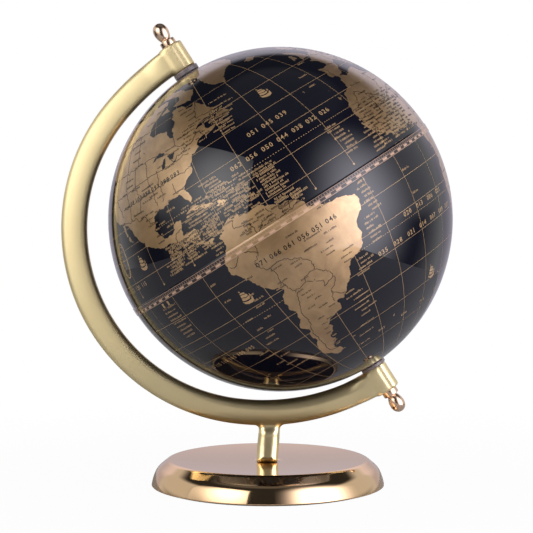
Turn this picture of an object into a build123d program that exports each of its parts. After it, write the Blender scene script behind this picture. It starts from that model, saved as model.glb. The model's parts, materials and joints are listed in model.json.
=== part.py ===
from build123d import *
import math
import os

# A desktop globe: a 203 mm ball that spins on a tilted steel axle, held in a cast C-shaped arm
# whose foot is bolted to a weighted, polished round base.
#
# Frame, in millimetres: the origin is the centre of the base's resting face and +Z is up. The arm
# lies in the XZ plane and bulges towards -X, so the upper pole leans to -X and the lower to +X.

os.makedirs("parts", exist_ok=True)

# ---- driving dimensions ---------------------------------------------------------------------

BALL_D = 203.2            # over the printed map, an eight inch ball
BALL_X = 7.4              # the ball's centre stands this far from the base's centre
BALL_Z = 158.3            # and this far above the table
TILT = 32.5               # degrees between the axle and the vertical

BASE_R = 69.2             # widest radius of the base, at its foot
BASE_H = 16.0             # height of the lip round the base's top
BASE_DISH = 1.5           # how far the top is drawn down in the middle, under the column
BASE_SEAT_R = 10.0        # flat in the middle of the top, which the column stands on
BASE_SIDE_R = 31.0        # radii of the base's side, shoulder and lip in section
BASE_SHOULDER_R = 10.9
BASE_LIP_R = 4.6
SIDE_FROM = 9.7           # how far the outward normal has risen at the rim, in degrees,
SIDE_TO = 22.5            # where the side turns into the shoulder,
SLOPE = 50.2              # and on the straight slope between the shoulder and the lip
SHELL_WALL = 1.5          # sheet the base is spun from
RIM_GAP = 0.25            # the metal rim stays this far off the table

ARM_WIDTH = 15.3          # the casting's section, across in the arm's plane
ARM_CROWN = 5.0           # half its thickness at the middle of the crowned faces
ARM_EDGE = 4.2            # half its thickness at the edges
ARM_ROUND = 2.0           # rounding of the section's corners
ARM_SHIFT_X = -13.3       # centre of the arm's main arc, from the ball's centre
ARM_SHIFT_Z = -5.7
ARM_R = 109.0             # radius of the main arc's middle line
ARM_FROM = 140.0          # the main arc runs between these angles, from +X towards +Z
ARM_TO = 262.0

BOSS_R = 7.1              # round ends of the arm, bored for the axle
BOSS_ROUND = 0.5
BOSS_HALF_THICK = 6.0
BOSS_GAP_UP = 3.7         # from the ball's pole to the boss's inner face, above and below
BOSS_GAP_LOW = 2.7
BOSS_LONG_UP = 16.0
BOSS_LONG_LOW = 15.5
SEAT_R = 7.8              # milled seat for the spacer washer on each inner face

AXLE_R = 2.0              # M4 rod
BUSH_CLEARANCE = 0.06     # radial running clearance between the bushes and the axle
THREAD_GRIP = 0.1         # how deep a nut's bore bites into the screw it is on
THRUST_GAP = 0.15         # between the lower bush and the washer that it rests on

BOLT_R = 2.5              # M5 bolt that holds the foot
GLUE = 0.05               # glue line between the ball's layers
PRINT_THICK = 0.4         # printed map board
SHELL_THICK = 2.0         # moulded half of the ball
TAPE_WIDTH = 5.0
TAPE_THICK = 0.25

# ---- worked out from them -------------------------------------------------------------------

BALL_R = BALL_D / 2
BALL_CENTRE = Vector(BALL_X, 0, BALL_Z)
ON_AXLE = Pos(BALL_X, 0, BALL_Z) * Rot(0, -TILT, 0)   # local +Z runs up the axle, from the centre
FLIPPED = Rot(180, 0, 0)                              # turns an upper part into its lower twin

BOSS_IN_UP = BALL_R + BOSS_GAP_UP
BOSS_IN_LOW = BALL_R + BOSS_GAP_LOW
BOSS_OUT_UP = BOSS_IN_UP + BOSS_LONG_UP
BOSS_OUT_LOW = BOSS_IN_LOW + BOSS_LONG_LOW

PRINT_IN_R = BALL_R - PRINT_THICK
SHELL_OUT_R = PRINT_IN_R - GLUE
SHELL_IN_R = SHELL_OUT_R - SHELL_THICK

UP = (Align.CENTER, Align.CENTER, Align.MIN)


def rod(radius, low, high):
    """A round bar on the Z axis between two heights."""
    return Pos(0, 0, low) * Cylinder(radius, high - low, align=UP)


def ring(outer, inner, low, high):
    """A washer or tube on the Z axis."""
    return rod(outer, low, high) - rod(inner, low - 1, high + 1)


def keep(name, shape):
    """Name a piece and write its file."""
    shape.label = name
    export_step(shape, f"parts/{name}.step")
    print(name, round(shape.volume / 1000, 2), "cm3")
    return shape


# ---- base -----------------------------------------------------------------------------------

PAD_THICK = 1.6
PAD_R = 65.5
WEIGHT_R = 58.0
WEIGHT_THICK = 7.0
HUB_R = 9.5
SINK_R = 7.4              # recess that hides the bolt's head
SINK_DEPTH = 7.4
BOLT_CLEARANCE = 0.4
WASHER_R = 7.0
WASHER_THICK = 1.2
SPRING_R = 4.6
SPRING_THICK = 1.4
SPRING_SPLIT = 1.0
HEAD_ACROSS = 8.0         # hexagon head, across its flats
HEAD_HIGH = 3.5
BOLT_GRIP = 14.0          # thread in the foot

RIM_R = SHELL_WALL / 2    # the sheet's edge is rolled round
RIM_Z = RIM_GAP + RIM_R * (1 + math.sin(math.radians(SIDE_FROM)))
SEAT_Z = BASE_H - BASE_DISH


def step(point, angle, distance):
    """The point at a distance from another, in a direction given in degrees."""
    turn = math.radians(angle)
    return (point[0] + distance * math.cos(turn), point[1] + distance * math.sin(turn))


def bend(start, radius, first, last):
    """Arc that leaves a point where its normal stands at one angle, and ends where it is at another."""
    centre = step(start, first, -radius)
    return ThreePointArc(start, step(centre, (first + last) / 2, radius), step(centre, last, radius))


def end_of(edge):
    """Where an edge of a flat outline ends."""
    last = edge @ 1
    return (last.X, last.Y)


def cover_line(inset):
    """Half outline of the cover from its rim to the column's seat, moved inwards by a wall's thickness."""
    rim = step((BASE_R, RIM_Z), SIDE_FROM, -inset)
    side = bend(rim, BASE_SIDE_R - inset, SIDE_FROM, SIDE_TO)
    shoulder = bend(end_of(side), BASE_SHOULDER_R - inset, SIDE_TO, SLOPE)

    low = end_of(shoulder)
    tall = BASE_H - inset - (BASE_LIP_R - inset) * (1 - math.sin(math.radians(SLOPE))) - low[1]
    high = step(low, SLOPE + 90, tall / math.cos(math.radians(SLOPE)))

    lip_x = step(high, SLOPE, inset - BASE_LIP_R)[0]
    reach = ((lip_x - BASE_SEAT_R) ** 2 + BASE_DISH**2) / (2 * BASE_DISH)   # lip's radius plus dish's
    tilt = math.degrees(math.asin((lip_x - BASE_SEAT_R) / reach))
    lip = bend(high, BASE_LIP_R - inset, SLOPE, 90 + tilt)
    dish = bend(end_of(lip), BASE_LIP_R - inset - reach, 90 + tilt, 90)
    return [side, shoulder, Line(low, high), lip, dish]


def base_shell():
    """The spun cover: a half section turned about Z, with a hole for the bolt."""
    hole = BOLT_R + BOLT_CLEARANCE
    outer = cover_line(0)
    inner = cover_line(SHELL_WALL)
    section = outer + inner
    section.append(Line((BASE_SEAT_R, SEAT_Z), (hole, SEAT_Z)))
    section.append(Line((hole, SEAT_Z), (hole, SEAT_Z - SHELL_WALL)))
    section.append(Line((hole, SEAT_Z - SHELL_WALL), (BASE_SEAT_R, SEAT_Z - SHELL_WALL)))
    rim_centre = step((BASE_R, RIM_Z), SIDE_FROM, -RIM_R)
    section.append(ThreePointArc(outer[0] @ 0, step(rim_centre, SIDE_FROM - 90, RIM_R), inner[0] @ 0))
    return revolve(Plane.XZ * make_face(section), axis=Axis.Z)


def base_weight():
    """Ballast disc, glued to the pad below and clamped to the cover through its hub."""
    disc = rod(WEIGHT_R, PAD_THICK, PAD_THICK + WEIGHT_THICK)
    hub = rod(HUB_R, PAD_THICK, SEAT_Z - SHELL_WALL)
    sink = rod(SINK_R, 0, PAD_THICK + SINK_DEPTH)
    return disc + hub - sink - rod(BOLT_R + BOLT_CLEARANCE, 0, BASE_H)


WASHER_TOP = PAD_THICK + SINK_DEPTH
SPRING_TOP = WASHER_TOP - WASHER_THICK
HEAD_TOP = SPRING_TOP - SPRING_THICK
BOLT_END = SEAT_Z + BOLT_GRIP


def spring_washer():
    """A split ring."""
    bottom = SPRING_TOP - SPRING_THICK
    split = Pos(SPRING_R, 0, bottom) * Box(2 * SPRING_R, SPRING_SPLIT, 4 * SPRING_THICK)
    return ring(SPRING_R, BOLT_R + BOLT_CLEARANCE / 2, bottom, SPRING_TOP) - split


def base_bolt():
    """Hexagon head bolt, pointing up."""
    hexagon = RegularPolygon(HEAD_ACROSS / 2, 6, major_radius=False)
    head = Pos(0, 0, HEAD_TOP - HEAD_HIGH) * extrude(hexagon, HEAD_HIGH)
    shank = rod(BOLT_R, HEAD_TOP, BOLT_END)
    return head + chamfer(shank.edges().sort_by(Axis.Z)[-1], BOLT_R / 5)


# ---- arm ------------------------------------------------------------------------------------

FOOT_TALL = 19.2          # height of the column, to where it spreads into the arm
FOOT_X = -0.5             # its middle at the bottom, and how far it leans for each millimetre of height
FOOT_LEAN = 0.075
FOOT_SPREAD = 2.4         # radius of the spread
FOOT_ROOT = 6.0           # length of the root inside the arm
FOOT_SECTIONS = (         # height, width, depth and corner radius
    (0.0, 11.8, 17.0, 5.2),
    (5.0, 12.2, 13.0, 5.0),
    (10.0, 12.6, 10.6, 4.6),
    (15.0, 12.5, 9.8, 4.4),
    (FOOT_TALL, 12.4, 9.6, 4.2),
)


def arm_section():
    """The casting's section: crowned front and back faces, straight edges, rounded corners."""
    half = ARM_WIDTH / 2
    outline = [
        ThreePointArc((-half, ARM_EDGE), (0, ARM_CROWN), (half, ARM_EDGE)),
        Line((half, ARM_EDGE), (half, -ARM_EDGE)),
        ThreePointArc((half, -ARM_EDGE), (0, -ARM_CROWN), (-half, -ARM_EDGE)),
        Line((-half, -ARM_EDGE), (-half, ARM_EDGE)),
    ]
    face = make_face(outline)
    return fillet(face.vertices(), ARM_ROUND)


def bearing_of(point, centre):
    """Angle of a point about a centre in the XZ plane, in degrees from +X towards +Z."""
    return math.degrees(math.atan2(point.Z - centre.Z, point.X - centre.X)) % 360


def direction(angle):
    """Unit vector in the XZ plane."""
    return Vector(math.cos(math.radians(angle)), 0, math.sin(math.radians(angle)))


def bar(centre, radius, start, end):
    """One stretch of the arm: its section turned about a centre, from one angle to a larger one."""
    out = direction(start)
    place = Plane(origin=centre + out * radius, x_dir=out, z_dir=out.cross(Vector(0, 1, 0)))
    return revolve(place * arm_section(), axis=Axis(centre, (0, -1, 0)), revolution_arc=end - start)


def tangent_stretch(centre, angle, goal):
    """Centre and radius of the arc that leaves the main arc smoothly and ends at a goal."""
    out = direction(angle)
    chord = goal - (centre + out * ARM_R)
    radius = -chord.dot(chord) / (2 * chord.dot(out))
    return centre + out * (ARM_R - radius), radius


def boss(inner, outer):
    """Round end of the arm, flat in front and behind, with softened rims."""
    high = outer - inner
    slab = Box(4 * BOSS_R, 2 * BOSS_HALF_THICK, high, align=UP)
    block = rod(BOSS_R, inner, outer) & Pos(0, 0, inner) * slab
    return fillet(block.edges(), BOSS_ROUND)


def foot_ring(high, width, depth, corner):
    """Section of the column at a height above its seat."""
    return Pos(FOOT_X + FOOT_LEAN * high, 0, SEAT_Z + high) * RectangleRounded(width, depth, corner)


def foot():
    """Column under the arm: deep at the base, waisted, leaning a little, and spreading into the arm."""
    column = [foot_ring(*section) for section in FOOT_SECTIONS]
    _, width, depth, corner = FOOT_SECTIONS[-1]
    spread = [column[-1]]
    for angle in (25, 45, 60, 72):
        turn = math.radians(angle)
        grown = width + 2 * FOOT_SPREAD * (1 - math.cos(turn))
        spread.append(foot_ring(FOOT_TALL + FOOT_SPREAD * math.sin(turn), grown, depth, corner))
    return loft(column) + loft(spread, ruled=True) + extrude(spread[-1], FOOT_ROOT)


def meridian_arm():
    """The whole casting: three tangent stretches, two bosses and the foot, bored and tapped."""
    centre = BALL_CENTRE + Vector(ARM_SHIFT_X, 0, ARM_SHIFT_Z)
    up = direction(90 + TILT)
    top_goal = BALL_CENTRE + up * ((BOSS_IN_UP + BOSS_OUT_UP) / 2)
    low_goal = BALL_CENTRE - up * ((BOSS_IN_LOW + BOSS_OUT_LOW) / 2)
    top_centre, top_r = tangent_stretch(centre, ARM_FROM, top_goal)
    low_centre, low_r = tangent_stretch(centre, ARM_TO, low_goal)

    arm = bar(centre, ARM_R, ARM_FROM, ARM_TO)
    arm += bar(top_centre, top_r, bearing_of(top_goal, top_centre), ARM_FROM)
    arm += bar(low_centre, low_r, ARM_TO, bearing_of(low_goal, low_centre))
    arm += ON_AXLE * boss(BOSS_IN_UP, BOSS_OUT_UP)
    arm += ON_AXLE * FLIPPED * boss(BOSS_IN_LOW, BOSS_OUT_LOW)
    arm += foot()

    for place, inner in ((ON_AXLE, BOSS_IN_UP), (ON_AXLE * FLIPPED, BOSS_IN_LOW)):
        arm -= place * rod(SEAT_R, BALL_R, inner)
        arm -= place * rod(AXLE_R + BUSH_CLEARANCE, BALL_R, inner + 2 * BOSS_LONG_UP)
    arm -= rod(BOLT_R - THREAD_GRIP, SEAT_Z - 1, BOLT_END + 1)
    return arm


# ---- axle, finials and washers --------------------------------------------------------------

FINIAL_COLLAR_R = 4.7
FINIAL_COLLAR_HIGH = 3.7
FINIAL_NECK_R = 2.9
FINIAL_NECK_Z = 4.2
FINIAL_EGG_R = 4.5        # the egg is widest near its outer end
FINIAL_EGG_Z = 9.9
FINIAL_TIP_Z = 15.1
FINIAL_ROUND = 0.5
FINIAL_BITE = 7.0         # thread inside a finial
SPACER_R = 7.3
SPACER_THICK = 2.2
SPACER_HOLE = 2.3
SPACER_ROUND = 0.4


def finial():
    """Cap nut turned as a collar, a neck and an egg, standing on z = 0."""
    widest = (FINIAL_EGG_R, FINIAL_EGG_Z)
    egg_side = TangentArc(widest, (FINIAL_NECK_R, FINIAL_NECK_Z), tangent=(0, -1))
    egg_cap = Spline(widest, (0, FINIAL_TIP_Z), tangents=[(0, 1), (-1, 0)])
    rest = Polyline(
        (FINIAL_NECK_R, FINIAL_NECK_Z),
        (FINIAL_NECK_R, FINIAL_COLLAR_HIGH),
        (FINIAL_COLLAR_R, FINIAL_COLLAR_HIGH),
        (FINIAL_COLLAR_R, 0),
        (0, 0),
        (0, FINIAL_TIP_Z),
    )
    body = revolve(Plane.XZ * make_face([egg_cap, egg_side] + rest.edges()), axis=Axis.Z)
    circles = body.edges().filter_by(GeomType.CIRCLE)
    low = circles.filter_by(lambda edge: edge.arc_center.Z < FINIAL_NECK_Z)
    collar_rims = low.filter_by(lambda edge: edge.radius > FINIAL_EGG_R)
    return fillet(collar_rims, FINIAL_ROUND) - rod(AXLE_R - THREAD_GRIP, -1, FINIAL_BITE)


def axle():
    """The rod through the arm and the ball, with chamfered ends."""
    steel = rod(AXLE_R, -(BOSS_OUT_LOW + FINIAL_BITE), BOSS_OUT_UP + FINIAL_BITE)
    return chamfer(steel.edges().filter_by(GeomType.CIRCLE), AXLE_R / 4)


def spacer(face):
    """Plastic washer lying on a boss's inner face."""
    disc = rod(SPACER_R, face - SPACER_THICK, face)
    disc = fillet(disc.edges().filter_by(GeomType.CIRCLE), SPACER_ROUND)
    return disc - rod(SPACER_HOLE, face - 2 * SPACER_THICK, face + SPACER_THICK)


# ---- ball -----------------------------------------------------------------------------------

POLE_HOLE_R = 4.0
FLANGE_R = 9.0
FLANGE_THICK = 4.5
BUSH_LONG = 14.0
TUBE_WALL = 1.5
SEAM_HIGH = 12.0
SEAM_THICK = 2.0

FLANGE_LOW = SHELL_IN_R - FLANGE_THICK
BUSH_TIP = BOSS_IN_LOW - SPACER_THICK - THRUST_GAP


def half_ball(outer, inner):
    """Upper half of a hollow ball, with the hole at its pole."""
    side = 2 * outer
    upper_space = Box(side, side, side, align=UP) - rod(POLE_HOLE_R + GLUE, inner / 2, side + 1)
    return (Sphere(outer) - Sphere(inner)) & upper_space


def pole_bush():
    """Bush glued in the pole's hole: nose, curved flange inside the ball, and a spigot for the tube."""
    flange = rod(FLANGE_R, FLANGE_LOW, BALL_R) & Sphere(SHELL_IN_R - GLUE)
    body = flange + rod(POLE_HOLE_R, BUSH_TIP - BUSH_LONG, BUSH_TIP)
    return body - rod(AXLE_R + BUSH_CLEARANCE, 0, 2 * BALL_R)


def centre_tube():
    """Spacer tube between the two bushes."""
    return ring(POLE_HOLE_R + GLUE + TUBE_WALL, POLE_HOLE_R + GLUE, -FLANGE_LOW, FLANGE_LOW)


def seam_ring():
    """Hoop glued inside the ball, across the joint of the halves."""
    outer = SHELL_IN_R - GLUE
    return ring(outer, outer - SEAM_THICK, -SEAM_HIGH / 2, SEAM_HIGH / 2) & Sphere(outer)


def equator_tape():
    """Printed band over the joint."""
    return ring(BALL_R + GLUE + TAPE_THICK, BALL_R + GLUE, -TAPE_WIDTH / 2, TAPE_WIDTH / 2)


# ---- write the parts ------------------------------------------------------------------------

keep("base_felt_pad", rod(PAD_R, 0, PAD_THICK))
keep("base_weight", base_weight())
keep("base_shell", base_shell())
keep("base_flat_washer", ring(WASHER_R, BOLT_R + BOLT_CLEARANCE / 2, SPRING_TOP, WASHER_TOP))
keep("base_spring_washer", spring_washer())
keep("base_bolt", base_bolt())
keep("meridian_arm", meridian_arm())

keep("axle_rod", ON_AXLE * axle())
keep("upper_finial", ON_AXLE * Pos(0, 0, BOSS_OUT_UP) * finial())
keep("lower_finial", ON_AXLE * FLIPPED * Pos(0, 0, BOSS_OUT_LOW) * finial())
keep("upper_spacer_washer", ON_AXLE * spacer(BOSS_IN_UP))
keep("lower_spacer_washer", ON_AXLE * FLIPPED * spacer(BOSS_IN_LOW))

keep("north_hemisphere", ON_AXLE * half_ball(SHELL_OUT_R, SHELL_IN_R))
keep("south_hemisphere", ON_AXLE * FLIPPED * half_ball(SHELL_OUT_R, SHELL_IN_R))
keep("north_map_cover", ON_AXLE * half_ball(BALL_R, PRINT_IN_R))
keep("south_map_cover", ON_AXLE * FLIPPED * half_ball(BALL_R, PRINT_IN_R))
keep("upper_pole_bush", ON_AXLE * pole_bush())
keep("lower_pole_bush", ON_AXLE * FLIPPED * pole_bush())
keep("centre_tube", ON_AXLE * centre_tube())
keep("seam_ring", ON_AXLE * seam_ring())
keep("equator_tape", ON_AXLE * equator_tape())
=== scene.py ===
# %% [markdown]
# # Desktop globe on a stand
#
# The object is a glossy printed ball on a tilted axle, held in a cast C-shaped arm above a polished round
# base. The CAD frame already holds every part at its real size. This file gives the visible parts their
# finished surfaces: each one is worked out with numpy, and each finish is a small tree of shader nodes.

# %% Load the frame
import json
import math

import bpy
import numpy as np
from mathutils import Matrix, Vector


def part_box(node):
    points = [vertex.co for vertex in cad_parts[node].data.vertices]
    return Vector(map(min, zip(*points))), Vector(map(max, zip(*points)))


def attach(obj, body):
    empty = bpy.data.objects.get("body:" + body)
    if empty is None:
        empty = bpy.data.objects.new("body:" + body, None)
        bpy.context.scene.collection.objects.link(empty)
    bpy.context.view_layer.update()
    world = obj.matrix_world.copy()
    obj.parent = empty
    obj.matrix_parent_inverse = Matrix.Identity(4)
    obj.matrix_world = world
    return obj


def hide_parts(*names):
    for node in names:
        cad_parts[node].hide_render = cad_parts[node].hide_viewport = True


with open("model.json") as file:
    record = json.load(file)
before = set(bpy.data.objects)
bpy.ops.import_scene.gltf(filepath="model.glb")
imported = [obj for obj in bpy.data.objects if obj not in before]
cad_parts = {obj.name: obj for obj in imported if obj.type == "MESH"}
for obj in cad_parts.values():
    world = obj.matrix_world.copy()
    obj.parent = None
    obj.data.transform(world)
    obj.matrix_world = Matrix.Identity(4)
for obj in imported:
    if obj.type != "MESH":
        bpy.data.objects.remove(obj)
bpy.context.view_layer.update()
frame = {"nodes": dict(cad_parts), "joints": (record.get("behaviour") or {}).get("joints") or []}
nodes = frame["nodes"]
print("nodes in the frame:", len(nodes))

# %% [markdown]
# ## Places read from the frame
#
# All sizes here are metres, as in the frame, so a length given in millimetres is multiplied by MM. The
# spin joint gives the ball's centre and the direction of the axle. With the direction across the axle,
# in the plane of the arm, and the front, it makes the axes in which the ball and the bosses are built.

# %% Axes and main sizes
MM = 0.001


def unit(vectors):
    """Vectors scaled to a length of one."""
    return vectors / np.maximum(np.linalg.norm(vectors, axis=-1, keepdims=True), 1e-12)


spin = frame["joints"][0]
centre = np.array(spin["pos_m"])
up = unit(np.array(spin["axis"]))
front = np.array([0.0, -1.0, 0.0])
across = np.cross(up, front)


def points_of(mesh):
    """All points of a mesh as an array."""
    flat = np.zeros(3 * len(mesh.vertices))
    mesh.vertices.foreach_get("co", flat)
    return flat.reshape(-1, 3)


def on_axle(node):
    """A node's lowest and highest place along the axle, from the ball's centre, and its smallest and
    largest radius about the axle."""
    away = points_of(nodes[node].data) - centre
    along = away @ up
    radius = np.linalg.norm(away - along[:, None] * up, axis=1)
    return along.min(), along.max(), radius.min(), radius.max()


cover_low, cover_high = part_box("north_map_cover")
BALL_R = (cover_high.y - cover_low.y) / 2
base_low, base_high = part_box("base_shell")
BASE_R = base_high.x
BASE_H = base_high.z
print("ball radius", round(BALL_R, 4), "base radius", round(BASE_R, 4), "base height", round(BASE_H, 4))

# %% [markdown]
# ## Turning arrays into meshes
#
# A surface is first an array of points on a grid. `grid_faces` joins neighbours into quads, and can close
# the grid on itself in either direction. `lathe` turns a profile about an axis. A profile that reaches the
# axis ends in a single point there, so that the pole is closed and has no crowded, zero-width quads. A
# `Gathering` collects small surfaces that become one piece.

# %% Mesh makers


def new_object(name, points, faces):
    """A smooth-shaded mesh object made from points and faces."""
    mesh = bpy.data.meshes.new(name)
    mesh.from_pydata(np.asarray(points).tolist(), [], faces)
    mesh.polygons.foreach_set("use_smooth", np.ones(len(mesh.polygons), bool))
    mesh.update()
    made = bpy.data.objects.new(name, mesh)
    bpy.context.scene.collection.objects.link(made)
    print(name, len(mesh.vertices), "points", len(mesh.polygons), "faces")
    return made


def new_piece(name, points, faces, body):
    """A mesh object that rides on a body."""
    piece = new_object(name, points, faces)
    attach(piece, body)
    return piece


def stand_for(node):
    """Hides the CAD node that a piece stands for."""
    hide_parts(node)


def grid_faces(rows, columns, close_rows=False, close_columns=False):
    """Quads between neighbours on a grid whose points are numbered row by row."""
    i = np.arange(rows if close_rows else rows - 1)[:, None]
    j = np.arange(columns if close_columns else columns - 1)[None, :]
    next_i = (i + 1) % rows
    next_j = (j + 1) % columns
    quads = [i * columns + j, i * columns + next_j, next_i * columns + next_j, next_i * columns + j]
    return np.stack(np.broadcast_arrays(*quads), -1).reshape(-1, 4)


def lathe(name, profile, body, turns, origin=(0, 0, 0), axis=(0, 0, 1)):
    """A profile turned about an axis: radius times cosine and sine of the turn, and the height. Its outside
    lies to the right. It is a closed loop, or it starts and ends on the axis."""
    radii, heights = np.asarray(profile, float).T
    off_axis = radii > 1e-7
    loop = bool(off_axis.all())
    turn = np.linspace(0, 2 * math.pi, turns, endpoint=False)
    sides = np.stack([np.cos(turn), np.sin(turn), np.zeros(turns)], -1)
    rings = radii[off_axis, None, None] * sides + heights[off_axis, None, None] * np.array([0, 0, 1.0])
    points = rings.reshape(-1, 3)
    faces = grid_faces(len(rings), turns, close_rows=loop, close_columns=True).tolist()
    if not loop:
        step = np.arange(turns)
        after = (step + 1) % turns
        last = len(points) - turns
        tip = np.full(turns, len(points))
        faces += np.stack([after, step, tip], -1).tolist()
        faces += np.stack([last + step, last + after, tip + 1], -1).tolist()
        points = np.vstack([points, [0, 0, heights[0]], [0, 0, heights[-1]]])
    side = np.cross(front, axis)
    placed = points @ np.array([side, np.cross(axis, side), axis]) + np.asarray(origin)
    return new_piece(name, placed, faces, body)


def arc(middle, radius, first, last, count):
    """Points on an arc: the middle plus the radius in directions from the first to the last angle."""
    turn = np.radians(np.linspace(first, last, count))
    return np.stack([middle[0] + radius * np.cos(turn), middle[1] + radius * np.sin(turn)], -1)


class Gathering:
    """Collects surfaces, then makes them one piece."""

    def __init__(self):
        self.points = []
        self.faces = []
        self.count = 0

    def add(self, points, faces):
        """Adds a surface, whose faces number its own points from zero."""
        self.points.append(points)
        self.faces += [[corner + self.count for corner in face] for face in faces]
        self.count += len(points)

    def piece(self, name, body):
        """The one piece of everything collected."""
        return new_piece(name, np.vstack(self.points), self.faces, body)


# %% [markdown]
# ## Shader maths as expressions
#
# A finish is a formula, so it reads best as one. `Number` wraps a node's output, and adding, multiplying
# or comparing two of them adds the Math node for it. `Tree` adds any other node by its type. `Look` is the
# tree of one material: it mixes colours, and ends in a Principled shader whose constant values are set on
# its sockets.

# %% Shader helpers


def operator(operation, swapped=False):
    """A method that adds the Math node of an operator; swapped is its reflected form, as in 1 - mask."""

    def method(self, other):
        return self.tree.maths(operation, *((other, self) if swapped else (self, other)))

    return method


class Number:
    """A number that varies over a surface, or with the direction of a ray."""

    def __init__(self, tree, socket):
        self.tree = tree
        self.socket = socket

    __add__ = __radd__ = operator("ADD")
    __sub__ = operator("SUBTRACT")
    __rsub__ = operator("SUBTRACT", swapped=True)
    __mul__ = __rmul__ = operator("MULTIPLY")
    __gt__ = operator("GREATER_THAN")
    __lt__ = operator("LESS_THAN")

    def fract(self):
        """What is left over after the whole number."""
        return self.tree.maths("FRACT", self)

    def rise(self, low, high):
        """0 below low, 1 above high, and an S-curve between them."""
        inputs = {"Value": self, "From Min": low, "From Max": high}
        return Number(self.tree, self.tree.node(
            "ShaderNodeMapRange", {"interpolation_type": "SMOOTHSTEP"}, inputs).outputs[0])


class Tree:
    """A node tree, and short ways to add to it."""

    def __init__(self, tree):
        self.tree = tree

    def feed(self, socket, value):
        """Gives a socket a plain value, or a link from a Number or another socket."""
        value = value.socket if isinstance(value, Number) else value
        if isinstance(value, bpy.types.NodeSocket):
            self.tree.links.new(value, socket)
        else:
            socket.default_value = value

    def node(self, kind, settings=None, inputs=None):
        """Adds a node: its settings first, then the values or links of its sockets."""
        made = self.tree.nodes.new(kind)
        for key, value in (settings or {}).items():
            setattr(made, key, value)
        for key, value in (inputs or {}).items():
            self.feed(made.inputs[key], value)
        return made

    def maths(self, operation, first, second=0.0):
        """The Number that one Math node gives."""
        made = self.node("ShaderNodeMath", {"operation": operation}, {0: first, 1: second})
        return Number(self, made.outputs[0])

    def vector(self, operation, first, second, output="Vector"):
        """The vector, or the value, that one Vector Math node gives."""
        made = self.node("ShaderNodeVectorMath", {"operation": operation}, {0: first, 1: second})
        return made.outputs[output]

    def coordinate(self, letter, place):
        """One coordinate of a place, X, Y or Z."""
        return Number(self, self.node("ShaderNodeSeparateXYZ", None, {0: place}).outputs[letter])

    def mix_shaders(self, share, first, second):
        """A shader between two shaders."""
        return self.node("ShaderNodeMixShader", None, {0: share, 1: first, 2: second}).outputs[0]


class Look(Tree):
    """One material, built up node by node."""

    def __init__(self, name):
        self.material = bpy.data.materials.new(name)
        self.material.use_nodes = True
        super().__init__(self.material.node_tree)
        self.shader = self.tree.nodes["Principled BSDF"]
        self.place = self.node("ShaderNodeTexCoord").outputs["Object"]

    def noise(self, scale, detail=3.0, roughness=0.5, distortion=0.0):
        """Cloudy noise from 0 to 1, with a number of patches per metre."""
        inputs = {"Vector": self.place, "Scale": scale, "Detail": detail, "Roughness": roughness,
                  "Distortion": distortion}
        return Number(self, self.node("ShaderNodeTexNoise", None, inputs).outputs["Fac"])

    def attribute(self, name):
        """A number stored on each point of the mesh."""
        return Number(self, self.node("ShaderNodeAttribute", {"attribute_name": name}).outputs["Fac"])

    def mix(self, share, first, second):
        """A colour between two colours."""
        made = self.node("ShaderNodeMix", {"data_type": "RGBA"}, {"Factor": share, 6: first, 7: second})
        return made.outputs[2]

    def bump(self, height, distance):
        """Makes the shading follow a height given from 0 to 1, worth a distance in metres."""
        made = self.node("ShaderNodeBump", None, {"Height": height, "Distance": distance})
        self.feed(self.shader.inputs["Normal"], made.outputs[0])

    def set(self, **values):
        """Feeds the shader's sockets; an underscore in a name stands for a space."""
        for key, value in values.items():
            self.feed(self.shader.inputs[key.replace("_", " ")], value)

    def on(self, *pieces):
        """Puts the material in the slots of pieces or CAD nodes."""
        for piece in pieces:
            if len(piece.material_slots) == 0:
                piece.data.materials.append(self.material)
            for slot in piece.material_slots:
                slot.material = self.material
        print(self.material.name, "on", len(pieces), "parts")


def colour(red, green, blue):
    """A colour given as on screen, from 0 to 255, as the linear colour that shaders use."""
    screen = np.array([red, green, blue]) / 255
    linear = np.where(screen <= 0.04045, screen / 12.92, ((screen + 0.055) / 1.055) ** 2.4)
    return (*linear.tolist(), 1.0)


def grey(level):
    """A linear grey, from 0 to 1."""
    return (level, level, level, 1.0)


# %% [markdown]
# ## Floor, backdrop, lights and camera
#
# The set is plain: a pale floor, a pale backdrop and two large soft lights in front, to the left and to
# the right, with darkness around the camera between them. Gloss shows the set, so the world has the same
# plan for reflections: a bright backdrop behind the object, dimmer walls beside it, a faint ceiling and
# darkness in front. What the camera sees directly is white because of the colour, not because of more
# light. The floor's colour carries painted shade: it is darker in front, where the floor lies in shade and
# the polished metal would show too much of it, and lighter towards the back, where the light falls.

# %% Camera
CAMERA_PLACE = np.array([-0.8, -945.5, 173.7]) * MM
CAMERA_DIP = 2.615
LENS = 107.7

scene = bpy.context.scene
camera_data = bpy.data.cameras.new("camera")
camera_data.lens = LENS
camera_data.sensor_width = 36.0
camera_data.clip_start = 0.01
camera = bpy.data.objects.new("camera", camera_data)
scene.collection.objects.link(camera)
camera.location = CAMERA_PLACE
camera.rotation_euler = (math.radians(90 - CAMERA_DIP), 0, 0)
scene.camera = camera
scene.view_settings.view_transform = "Standard"
print("camera at", CAMERA_PLACE, "dips by", CAMERA_DIP, "degrees")

# %% Soft lights


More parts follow.
